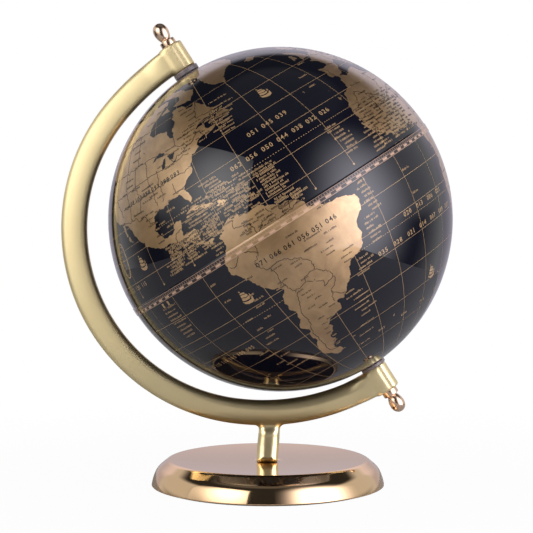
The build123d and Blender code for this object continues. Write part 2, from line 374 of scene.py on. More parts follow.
def softbox(name, bearing, low, high, distance, width, radiance, core, reach, tint):
    """A lit panel that faces the ball: bearing in degrees from the camera's side towards the right, and
    edges at two heights. Its light falls off as a bell curve about a core, whose place and reach are shares
    of the panel's width and height."""
    tall = high - low
    data = bpy.data.lights.new(name, "AREA")
    data.shape = "RECTANGLE"
    data.size = width
    data.size_y = tall
    data.energy = radiance * math.pi * width * tall
    data.color = tint
    data.use_nodes = True
    glow = Tree(data.node_tree)
    place = glow.node("ShaderNodeNewGeometry").outputs["Parametric"]
    scaled = glow.vector("DIVIDE", glow.vector("SUBTRACT", place, (*core, 0)), (*reach, 1))
    square = Number(glow, glow.vector("DOT_PRODUCT", scaled, scaled, "Value"))
    glow.feed(glow.tree.nodes["Emission"].inputs["Strength"], glow.maths("EXPONENT", square * -1.0))
    lamp = bpy.data.objects.new(name, data)
    scene.collection.objects.link(lamp)
    turn = math.radians(bearing)
    lamp.location = (distance * math.sin(turn), -distance * math.cos(turn), (low + high) / 2)
    lamp.rotation_euler = (math.pi / 2, 0, turn)
    print(name, round(data.energy, 1), "watts")


softbox("soft_light_right", bearing=52, low=-0.35, high=1.85, distance=0.95, width=1.9, radiance=5.6,
        core=(0.5, 0.31), reach=(0.22, 0.30), tint=(0.96, 0.94, 1.04))
softbox("soft_light_left", bearing=-51, low=-0.20, high=1.00, distance=0.95, width=1.15, radiance=3.55,
        core=(0.66, 0.62), reach=(0.42, 0.42), tint=(1.0, 0.985, 0.98))

# %% World
BACKDROP_LOW = 0.52
BACKDROP_HIGH = 0.85
BACKDROP_TINT = (1.0, 0.93, 1.08)
WALL_LEVEL = 0.62
CEILING_LEVEL = 0.10
DARK_LEVEL = 0.03
FILL_LEVEL = 0.22       # the even light that dull surfaces get
WHITE = (1, 1, 1)

world = bpy.data.worlds.new("studio")
scene.world = world
world.use_nodes = True
world.node_tree.nodes.clear()
sky = Tree(world.node_tree)


def background(tint, level):
    """Light of one tint, at a level that may vary with the direction."""
    return sky.node("ShaderNodeBackground", None, {"Color": (*tint, 1), "Strength": level}).outputs[0]


# a direction's Y is 1 straight behind the object and -1 at the camera, and its Z is 1 overhead
direction = sky.node("ShaderNodeTexCoord").outputs["Generated"]
back = sky.coordinate("Y", direction)
high = sky.coordinate("Z", direction)
behind = back.rise(0.66, 0.76)
beside = sky.maths("MAXIMUM", back.rise(0.10, 0.70), back.rise(-0.40, 0.0) * high.rise(-0.05, 0.12))
upright_set = (1 - high.rise(0.55, 0.68)) * high.rise(-0.40, -0.30)
overhead = DARK_LEVEL + CEILING_LEVEL * high.rise(0.84, 0.92)
wall_level = WALL_LEVEL * beside * upright_set * (1 - behind) + overhead
back_level = BACKDROP_LOW + (BACKDROP_HIGH - BACKDROP_LOW) * high.rise(0.15, 0.45)
walls = background(WHITE, wall_level)
backdrop = background(BACKDROP_TINT, behind * upright_set * back_level)
in_gloss = sky.node("ShaderNodeAddShader", None, {0: walls, 1: backdrop}).outputs[0]
rays = sky.node("ShaderNodeLightPath").outputs
clear_ray = sky.maths("MAXIMUM", rays["Is Glossy Ray"], rays["Is Transmission Ray"])
unseen = sky.mix_shaders(clear_ray, background(WHITE, FILL_LEVEL), in_gloss)
sky.node("ShaderNodeOutputWorld", None, {
    0: sky.mix_shaders(rays["Is Camera Ray"], unseen, background(WHITE, 1.0))})
print("world nodes", len(world.node_tree.nodes))

# %% Floor
FLOOR_HALF = 0.46
FLOOR_WHITE = 0.97
# painted shade: the floor's paint is darker in front and lighter towards the back
FRONT_SHADE_PAINT = (0.54, 0.58)
BACK_LIGHT_PAINT = 0.78

corners = np.array([[-1, -1, 0], [1, -1, 0], [1, 1, 0], [-1, 1, 0]]) * FLOOR_HALF
floor = new_object("floor", corners, [(0, 1, 2, 3)])
paint = Look("pale_floor_painted_shade")
# painted shade: the floor's colour is darker in front and lighter towards the back, as the light falls
front_shade_paint = paint.mix(paint.noise(30.0), grey(FRONT_SHADE_PAINT[0]), grey(FRONT_SHADE_PAINT[1]))
shade_fades_towards_back = paint.coordinate("Y", paint.place).rise(-0.08, 0.24)
paint.set(Base_Color=paint.mix(shade_fades_towards_back, front_shade_paint, grey(BACK_LIGHT_PAINT)))
paint.set(Roughness=0.85, Specular_IOR_Level=0.0)
white = paint.node("ShaderNodeEmission", None, {"Color": grey(1.0), "Strength": 1.0}).outputs[0]
far_out = Number(paint, paint.vector("LENGTH", paint.place, (0, 0, 0), "Value")).rise(0.10, 0.42)
to_camera = Number(paint, paint.node("ShaderNodeLightPath").outputs["Is Camera Ray"])
seen_white = to_camera * (FLOOR_WHITE + (1 - FLOOR_WHITE) * far_out)
blend = paint.mix_shaders(seen_white, paint.shader.outputs[0], white)
paint.feed(paint.tree.nodes["Material Output"].inputs[0], blend)
paint.on(floor)

# %% [markdown]
# ## The polished base
#
# The cover is spun from sheet over a former and polished to a mirror before it is plated. A mirror shows
# every flaw in a surface, so the profile is built from true arcs that meet smoothly: the side, the
# shoulder, a straight slope, the lip, and a shallow dish where the bolt draws the top down.

# %% Base profile
SHELL_WALL = 1.5 * MM
SIDE_R = 31.0 * MM
SHOULDER_R = 10.9 * MM
LIP_R = 4.6 * MM
DISH = 1.5 * MM
SEAT_R = 10.0 * MM
HOLE_R = 2.9 * MM
SIDE_FROM = 9.7     # these three are the angles of the surface's normal above level, in degrees
SIDE_TO = 22.5
SLOPE = 50.2
FOOT_Z = BASE_H - DISH


def bend(start, radius, first, last, count):
    """An arc from a point where the normal stands at one angle to where it stands at another."""
    turn = math.radians(first)
    middle = (start[0] - radius * math.cos(turn), start[1] - radius * math.sin(turn))
    return arc(middle, radius, first, last, count)


def cover_profile(inset):
    """The cover's half outline from rim to bolt hole, moved inwards by a wall's thickness."""
    lean = math.radians(SIDE_FROM)
    rim_z = base_low.z + SHELL_WALL / 2 * (1 + math.sin(lean))
    rim = (BASE_R - inset * math.cos(lean), rim_z - inset * math.sin(lean))
    side = bend(rim, SIDE_R - inset, SIDE_FROM, SIDE_TO, 12)
    shoulder = bend(side[-1], SHOULDER_R - inset, SIDE_TO, SLOPE, 16)
    slope = math.radians(SLOPE)
    tall = BASE_H - inset - (LIP_R - inset) * (1 - math.sin(slope)) - shoulder[-1][1]
    high = shoulder[-1] + tall / math.cos(slope) * np.array([-math.sin(slope), math.cos(slope)])
    straight = shoulder[-1] + (high - shoulder[-1]) * np.linspace(0.1, 0.9, 5)[:, None]
    lip_x = high[0] - (LIP_R - inset) * math.cos(slope)
    reach = ((lip_x - SEAT_R) ** 2 + DISH**2) / (2 * DISH)
    tilt = math.degrees(math.asin((lip_x - SEAT_R) / reach))
    lip = bend(high, LIP_R - inset, SLOPE, 90 + tilt, 18)
    dish = bend(lip[-1], LIP_R - inset - reach, 90 + tilt, 90, 24)
    hole = np.array([[HOLE_R, FOOT_Z - inset]])
    return np.vstack([side, shoulder[1:], straight, lip, dish[1:], hole])


outline = np.vstack([cover_profile(0), cover_profile(SHELL_WALL)[::-1]])
base_piece = lathe("polished_cover", outline, "stand", turns=256)
stand_for("base_shell")

# %% [markdown]
# ## Mirror plate
#
# Rose gold plate is a metal whose colour lives in its reflection. Polished sheet isn't perfectly flat:
# slow waves in the height bend the reflections a little, faint grain stays from the buffing wheel, and
# fingers leave patches that are barely rougher.

# %% Rose gold finish


def rose_gold_look(name, roughness, wave, light, deep):
    """Plated metal: two close tones by slow noise, smears of roughness, and waves of a height."""
    look = Look(name)
    smear = look.noise(90.0, 4.0, 0.6)
    look.set(Base_Color=look.mix(look.noise(22.0, 2.0), deep, light), Metallic=1.0)
    look.set(Roughness=roughness + 0.05 * smear.rise(0.55, 0.8))
    look.bump(look.noise(28.0, 1.0) + 0.02 * look.noise(900.0, 1.0), wave)
    return look


mirror = rose_gold_look("rose_gold_mirror", 0.07, 0.06 * MM, colour(238, 204, 162), colour(230, 193, 150))
mirror.on(base_piece)

# %% [markdown]
# ## Finials and washers
#
# A finial is turned on a lathe: a collar that bears on the boss, a short neck and an egg. The washers are
# smoky translucent plastic, hollowed on the ball's side so that they follow it closely without touching.
# Both are profiles turned about the axle.

# %% Finials
EGG_R = 4.5 * MM
EGG_Z = 9.9 * MM
EGG_FULLNESS = 0.96     # an exact ellipse has 1, and less is fuller
NECK_R = 2.9 * MM
NECK_Z = 4.2 * MM
COLLAR_HIGH = 3.7 * MM
EDGE = 0.5 * MM
KNOB_TURNS = 96

finial_low, finial_tip, _, collar_r = on_axle("upper_finial")
upper_out = finial_low                      # how far each boss reaches from the ball's centre
lower_out = -on_axle("lower_finial")[1]


def finial_profile():
    """Collar, neck, egg side and egg cap, from the collar's flat face to the tip, as radius and height."""
    bottom = arc((collar_r - EDGE, EDGE), EDGE, -90, 0, 6)
    top = arc((collar_r - EDGE, COLLAR_HIGH - EDGE), EDGE, 0, 90, 6)
    neck = np.array([[NECK_R + EDGE, COLLAR_HIGH]])
    foot = arc((NECK_R + EDGE, COLLAR_HIGH + EDGE), EDGE, 270, 180, 5)[1:]
    drop = EGG_Z - NECK_Z
    side_r = ((EGG_R - NECK_R) ** 2 + drop**2) / (2 * (EGG_R - NECK_R))
    start = -math.degrees(math.asin(drop / side_r))
    side = arc((EGG_R - side_r, EGG_Z), side_r, start, 0, 14)
    turn = np.radians(np.linspace(0, 90, 20))[1:]
    tall = finial_tip - finial_low - EGG_Z
    cap = np.stack([EGG_R * np.cos(turn) ** EGG_FULLNESS, EGG_Z + tall * np.sin(turn)], -1)
    cap[-1, 0] = 0
    return np.vstack([[[0, 0]], bottom, top, neck, foot, side, cap])


def finial(end, place, axis):
    """The finial at one end of the axle, from its place along the axle outwards."""
    knob = lathe(f"{end}_knob", finial_profile(), "stand", KNOB_TURNS, centre + up * place, axis)
    stand_for(f"{end}_finial")
    return knob


turned = rose_gold_look("rose_gold_turned", 0.20, 0.004 * MM, colour(240, 210, 184), colour(232, 198, 168))
turned.on(finial("upper", upper_out, up), finial("lower", -lower_out, -up))

# %% Washers
WASHER_EDGE = 0.45 * MM
WASHER_HOLE = 2.3 * MM
WASHER_SPREAD = 0.5 * MM
BUSH_ROOM = 4.5 * MM
BALL_ROOM = 0.25 * MM
BOSS_LIP = 0.5 * MM     # how much longer a boss is here than its solid, towards the ball


def washer(end, side):
    """A cup with round edges: it bears on the boss, clears the ball and makes room for the bush's tip. The
    corners are quarter circles, joined by straight lines and turned about the axle."""
    node = f"{end}_spacer_washer"
    low, high, _, radius = on_axle(node)
    near, far = sorted((side * low, side * high))
    far = far - BOSS_LIP
    skirt = BALL_R + BALL_ROOM
    radius = radius + WASHER_SPREAD
    e = WASHER_EDGE
    rim = np.vstack([
        arc((radius - e, skirt + e), e, -90, 0, 6),
        arc((radius - e, far - e), e, 0, 90, 6),
        arc((WASHER_HOLE + e, far - e), e, 90, 180, 6),
        arc((WASHER_HOLE + e, near + e), e, 180, 270, 6),
        arc((BUSH_ROOM + e, skirt + e), e, 180, 270, 6),
    ])
    piece = lathe(f"{end}_washer", rim, "stand", KNOB_TURNS, centre, side * up)
    stand_for(node)
    return piece


washers = [washer("upper", 1), washer("lower", -1)]
smoke = Look("smoky_plastic")
haze = smoke.noise(160.0, 3.0)
smoke.set(Base_Color=smoke.mix(haze, colour(128, 116, 116), colour(160, 148, 148)))
smoke.set(Roughness=0.22 + 0.12 * haze, IOR=1.53, Transmission_Weight=0.35)
smoke.bump(smoke.noise(700.0, 2.0), 0.01 * MM)
smoke.on(*washers)

# %% [markdown]
# ## The arm casting
#
# On the real object the arm, its two bosses and the column are one casting, and every inside corner is
# softened by the mould. Separate swept parts would meet in hard lines, so the casting is described as a
# distance: how far a point is outside the metal. Distances of parts can be blended smoothly, as cast
# corners are. A rough mesh is made first, then each of its points slides onto the surface where the
# blended distance is zero. The section isn't the same all along: it thins towards its outer edge, and
# from the bottom to the lower boss its inner side leans away as well.

# %% Smooth blends


def soft_union(a, b, size):
    """The smaller of two distances, rounded where they are within a size of each other."""
    near = np.clip(1 - np.abs(a - b) / size, 0, 1)
    return np.minimum(a, b) - near**2 * size / 4


def soft_cut(a, b, size):
    """The larger of two distances, rounded in the same way."""
    return -soft_union(-a, -b, size)


def ease(value, low, high):
    """0 below low, 1 above high, and an S-curve between."""
    share = np.clip((value - low) / (high - low), 0, 1)
    return share * share * (3 - 2 * share)


# %% The arm's middle line
ARM_R = 109.0 * MM
ARM_MIDDLE = centre + np.array([-13.3, 0, -5.7]) * MM
ARM_FROM = 140.0
ARM_TO = 262.0
BOSS_SPAN = 15.75 * MM


def heading(angle):
    """Unit vectors in the plane of the arm, with angles in degrees counted from +X towards +Z."""
    turn = np.radians(angle)
    return np.stack([np.cos(turn), np.zeros_like(turn), np.sin(turn)], -1)


def bearing(points, middle):
    """The angle, from 0 to 360 degrees, at which points lie from a middle."""
    return np.degrees(np.arctan2(points[..., 2] - middle[2], points[..., 0] - middle[0])) % 360


def tangent_arc(angle, goal):
    """Centre and radius of the arc that leaves the main arc smoothly and ends at a goal."""
    out = heading(angle)
    chord = goal - (ARM_MIDDLE + out * ARM_R)
    radius = -chord @ chord / (2 * chord @ out)
    return ARM_MIDDLE + out * (ARM_R - radius), radius


upper_goal = centre + up * (upper_out - BOSS_SPAN / 2)
lower_goal = centre - up * (lower_out - BOSS_SPAN / 2)
upper_middle, upper_r = tangent_arc(ARM_FROM, upper_goal)
lower_middle, lower_r = tangent_arc(ARM_TO, lower_goal)
print("arc radii of the arm", round(upper_r, 4), round(ARM_R, 4), round(lower_r, 4))


def off_arc(points, middle, radius):
    """Signed distance from an arc in the plane of the arm, positive outwards."""
    return np.hypot(points[:, 0] - middle[0], points[:, 2] - middle[2]) - radius


def off_line(points):
    """Signed distance from the arm's middle line, which is three arcs, each up to its own bearing."""
    place = bearing(points, ARM_MIDDLE)
    main = off_arc(points, ARM_MIDDLE, ARM_R)
    on_main = np.where(place < ARM_TO, main, off_arc(points, lower_middle, lower_r))
    return np.where(place < ARM_FROM, off_arc(points, upper_middle, upper_r), on_main)


# %% The arm's section
ARM_HALF = 7.65 * MM
ARM_CROWN = 5.0 * MM
ARM_DROP = 2.0 * MM
ARM_LEAN = 0.45
LEAN_BEARINGS = (200, 235, 295)     # where the inner side starts to lean, leans fully, and leans widest
BOSS_R = 7.1 * MM
BOSS_HALF = 6.0 * MM
BOSS_CROWN = 0.3 * MM
BOSS_STEP = 0.3 * MM
NEAR_BOSS = (-22 * MM, -7 * MM)     # where the arm thickens, counted across from the axle


def half_thickness(points, line, aside):
    """Half the arm's thickness: the crown, less a square law outwards and a power law inwards, then eased
    to nearly a boss's thickness beside the bosses. The share is -1 at the inner edge and 1 at the outer."""
    share = line / ARM_HALF
    start, full, widest = LEAN_BEARINGS
    place = bearing(points, ARM_MIDDLE)
    lean = ARM_LEAN * ARM_HALF * ease(place, start, full)
    lean_from = 0.5 - 0.4 * ease(place, full, widest)
    crown = ARM_CROWN - ARM_DROP * np.clip((share + 0.6) / 1.6, 0, 1.1) ** 2
    crown = crown - lean * np.clip(-share - lean_from, 0, 1.2) ** 1.4
    return crown + (BOSS_HALF - BOSS_STEP - crown) * ease(aside, *NEAR_BOSS)


# %% The whole casting
FOOT_X = -0.5 * MM
FOOT_LEAN = 0.075
COLUMN_TALL = 19.2 * MM
COLUMN_BLEND = 3.0 * MM     # the height, either way, in which the column's thickness becomes the arm's
COLUMN_INSIDE = 9.0 * MM    # how far the column runs on inside the arm
COLUMN = np.array([         # height above the seat, half width and half depth, in millimetres
    (0.0, 6.2, 7.9),
    (2.5, 6.3, 7.2),
    (5.0, 6.4, 6.5),
    (10.0, 6.5, 5.5),
    (15.0, 6.4, 4.95),
    (19.2, 6.2, 4.85),
]) * MM
WELD = 3.4 * MM             # the rest are sizes of roundings
BOSS_WELD = 2.2 * MM
ARM_EDGE = 3.4 * MM
COLUMN_EDGE = 5.3 * MM
END_EDGE = 1.0 * MM
BOSS_EDGE = 0.35 * MM
BOSS_RIM = 1.2 * MM
FOOT_EDGE = 0.4 * MM


def bosses(depth, aside, along):
    """Distance outside the two bosses: cylinders about the axle with crowned, flattened fronts."""
    outer = np.where(along > 0, upper_out, lower_out)
    inner = outer - BOSS_SPAN - BOSS_LIP
    ends = np.maximum(inner - np.abs(along), np.abs(along) - outer)
    fronts = depth - BOSS_HALF + BOSS_CROWN * (aside / BOSS_R) ** 2
    return soft_cut(soft_cut(np.hypot(aside, depth) - BOSS_R, fronts, BOSS_EDGE), ends, BOSS_RIM)


def casting(points):
    """How far points lie outside the metal of the arm, its bosses and its column."""
    line = off_line(points)
    aside = (points - centre) @ across
    along = (points - centre) @ up
    depth = np.abs(points[:, 1])
    high = points[:, 2] - FOOT_Z

    half_wide = np.interp(high, COLUMN[:, 0], COLUMN[:, 1])
    half_deep = np.interp(high, COLUMN[:, 0], COLUMN[:, 2])
    sideways = np.abs(points[:, 0] - FOOT_X - FOOT_LEAN * high)
    column = np.maximum(sideways - half_wide, high - COLUMN_TALL - COLUMN_INSIDE)
    silhouette = soft_union(np.abs(line) - ARM_HALF, column, WELD)

    in_column = ease(-high, -COLUMN_TALL - COLUMN_BLEND, -COLUMN_TALL + COLUMN_BLEND)
    crown = half_thickness(points, line, aside)
    half_thick = crown + (half_deep - crown) * in_column
    rounding = ARM_EDGE + (COLUMN_EDGE - ARM_EDGE) * in_column
    plate = soft_cut(silhouette, depth - half_thick, rounding)
    plate = soft_cut(plate, aside, END_EDGE)
    whole = soft_union(plate, bosses(depth, aside, along), BOSS_WELD)
    return soft_cut(whole, -high, FOOT_EDGE)


# %% Rough mesh
VOXEL = 0.52 * MM
STUB_TALL = 24 * MM
STUB_HALVES = (6 * MM, 5 * MM)
ARC_POINTS = (24, 90, 30)
INSIDE = 0.9                # the rough bosses stay inside the real ones, by this share of their size


def tube(path, sides, half_a, half_b):
    """A closed box section carried along a path: each point plus and minus two side vectors."""
    signs = np.array([(1, 1), (-1, 1), (-1, -1), (1, -1)])
    rows = path[:, None, :] + signs[None, :, :1] * half_a * sides[:, None, :]
    rows = rows + signs[None, :, 1:] * half_b * front
    last = 4 * len(path) - 1
    faces = grid_faces(len(path), 4, close_columns=True).tolist()
    return rows.reshape(-1, 3), faces + [[0, 1, 2, 3], [last, last - 1, last - 2, last - 3]]


turns = [bearing(upper_goal, upper_middle), ARM_FROM, ARM_TO, bearing(lower_goal, lower_middle)]
outs = heading(np.concatenate([np.linspace(*span) for span in zip(turns, turns[1:], ARC_POINTS)]))
middles = np.repeat([upper_middle, ARM_MIDDLE, lower_middle], ARC_POINTS, axis=0)
radii = np.repeat([upper_r, ARM_R, lower_r], ARC_POINTS)[:, None]
foot = [FOOT_X, 0, FOOT_Z + 0.2 * MM]
upright = np.array([foot, [FOOT_X + FOOT_LEAN * STUB_TALL, 0, FOOT_Z + STUB_TALL]])

rough = Gathering()
rough.add(*tube(middles + radii * outs, outs, ARM_HALF, ARM_CROWN))
rough.add(*tube(upright, np.tile([1.0, 0, 0], (2, 1)), *STUB_HALVES))
for goal in (upper_goal, lower_goal):
    ends = goal + np.outer([-0.48, 0.48], up) * BOSS_SPAN
    rough.add(*tube(ends, np.tile(across, (2, 1)), BOSS_R * INSIDE, BOSS_HALF * INSIDE))
arm_piece = rough.piece("arm_casting", "stand")
remesh = arm_piece.modifiers.new("remesh", "REMESH")
remesh.mode = "VOXEL"
remesh.voxel_size = VOXEL
bpy.context.view_layer.update()
skin = bpy.data.meshes.new_from_object(arm_piece.evaluated_get(bpy.context.evaluated_depsgraph_get()))
arm_piece.modifiers.clear()
arm_piece.data = skin
print("rough arm", len(skin.vertices), "points")

# %% Projection onto the casting
NEWTON_STEPS = 14
PROBE = 0.02 * MM
LONGEST_MOVE = 0.6 * MM
FLATTEST = 0.2

spots = points_of(skin)
for _ in range(NEWTON_STEPS):
    probes = PROBE * np.eye(3)
    slope = np.stack([casting(spots + probe) - casting(spots - probe) for probe in probes], -1) / (2 * PROBE)
    move = -casting(spots) / np.maximum((slope**2).sum(1), FLATTEST)
    spots = spots + np.clip(move, -LONGEST_MOVE, LONGEST_MOVE)[:, None] * slope
skin.vertices.foreach_set("co", spots.ravel())
skin.polygons.foreach_set("use_smooth", np.ones(len(skin.polygons), bool))
skin.update()
stand_for("meridian_arm")
print("worst miss of the arm", round(float(np.abs(casting(spots)).max()), 6))

# %% [markdown]
# ## Satin brass plate
#
# The casting is plated a pale champagne brass over a blasted, brushed surface. Satin metal is rough metal:
# it spreads a light into a soft sheen. Near the foot the casting was polished further, so the roughness
# falls with the height, and fine noise in the bump stands for the blasting.

# %% Satin champagne brass
satin = Look("satin_champagne_brass")
worn = satin.noise(260.0, 5.0, 0.6)
satin.set(Base_Color=satin.mix(satin.noise(35.0, 3.0), colour(240, 220, 168), colour(250, 233, 184)))
dull = satin.coordinate("Z", satin.place).rise(30 * MM, 100 * MM)
satin.set(Metallic=1.0, Roughness=0.27 + 0.20 * dull + 0.05 * worn)
satin.bump(satin.noise(60.0, 2.0) + 0.05 * satin.noise(2400.0, 2.0), 0.05 * MM)
satin.on(arm_piece)

# %% [markdown]
# ## Where a place lies on the ball
#
# The map is printed flat and drawn over half a ball with heat, which stretches it more near the pole than
# near the equator. So a latitude isn't found at its own angle: its angle is the latitude times a share
# that grows with the latitude's square. A longitude is a plain turn about the axle.

# %% Latitude and longitude
MIDDLE_LON = -59.2
SHARE_NORTH = 0.80
SHARE_SOUTH = 0.865
MM_PER_DEGREE = math.radians(BALL_R) / MM


def true_angle(lat):
    """Angle above the equator where a latitude is printed: latitude x (share + rest x square of lat/90)."""
    lat = np.asarray(lat, float)
    share = np.where(lat >= 0, SHARE_NORTH, SHARE_SOUTH)
    return lat * (share + (1 - share) * (lat / 90) ** 2)


def level_way(lon):
    """Unit vector at right angles to the axle towards a longitude."""
    turn = np.radians(np.asarray(lon, float) - MIDDLE_LON)[..., None]
    return np.cos(turn) * front + np.sin(turn) * across


def on_ball(lon, lat, lift=0.0):
    """Point on the ball: the radius times the level part and the upward part of the place's direction."""
    rise = np.radians(true_angle(lat))[..., None]
    return centre + (BALL_R + lift) * (np.cos(rise) * level_way(lon) + np.sin(rise) * up)


# %% [markdown]
# ## Coasts
#
# The coasts are listed as a mapmaker would sketch them: a few corners for each land, as longitude and
# latitude in degrees. A real coast is ragged at every scale, so each long edge is halved again and again,
# and each new point is pushed sideways by a random share of the edge's length.

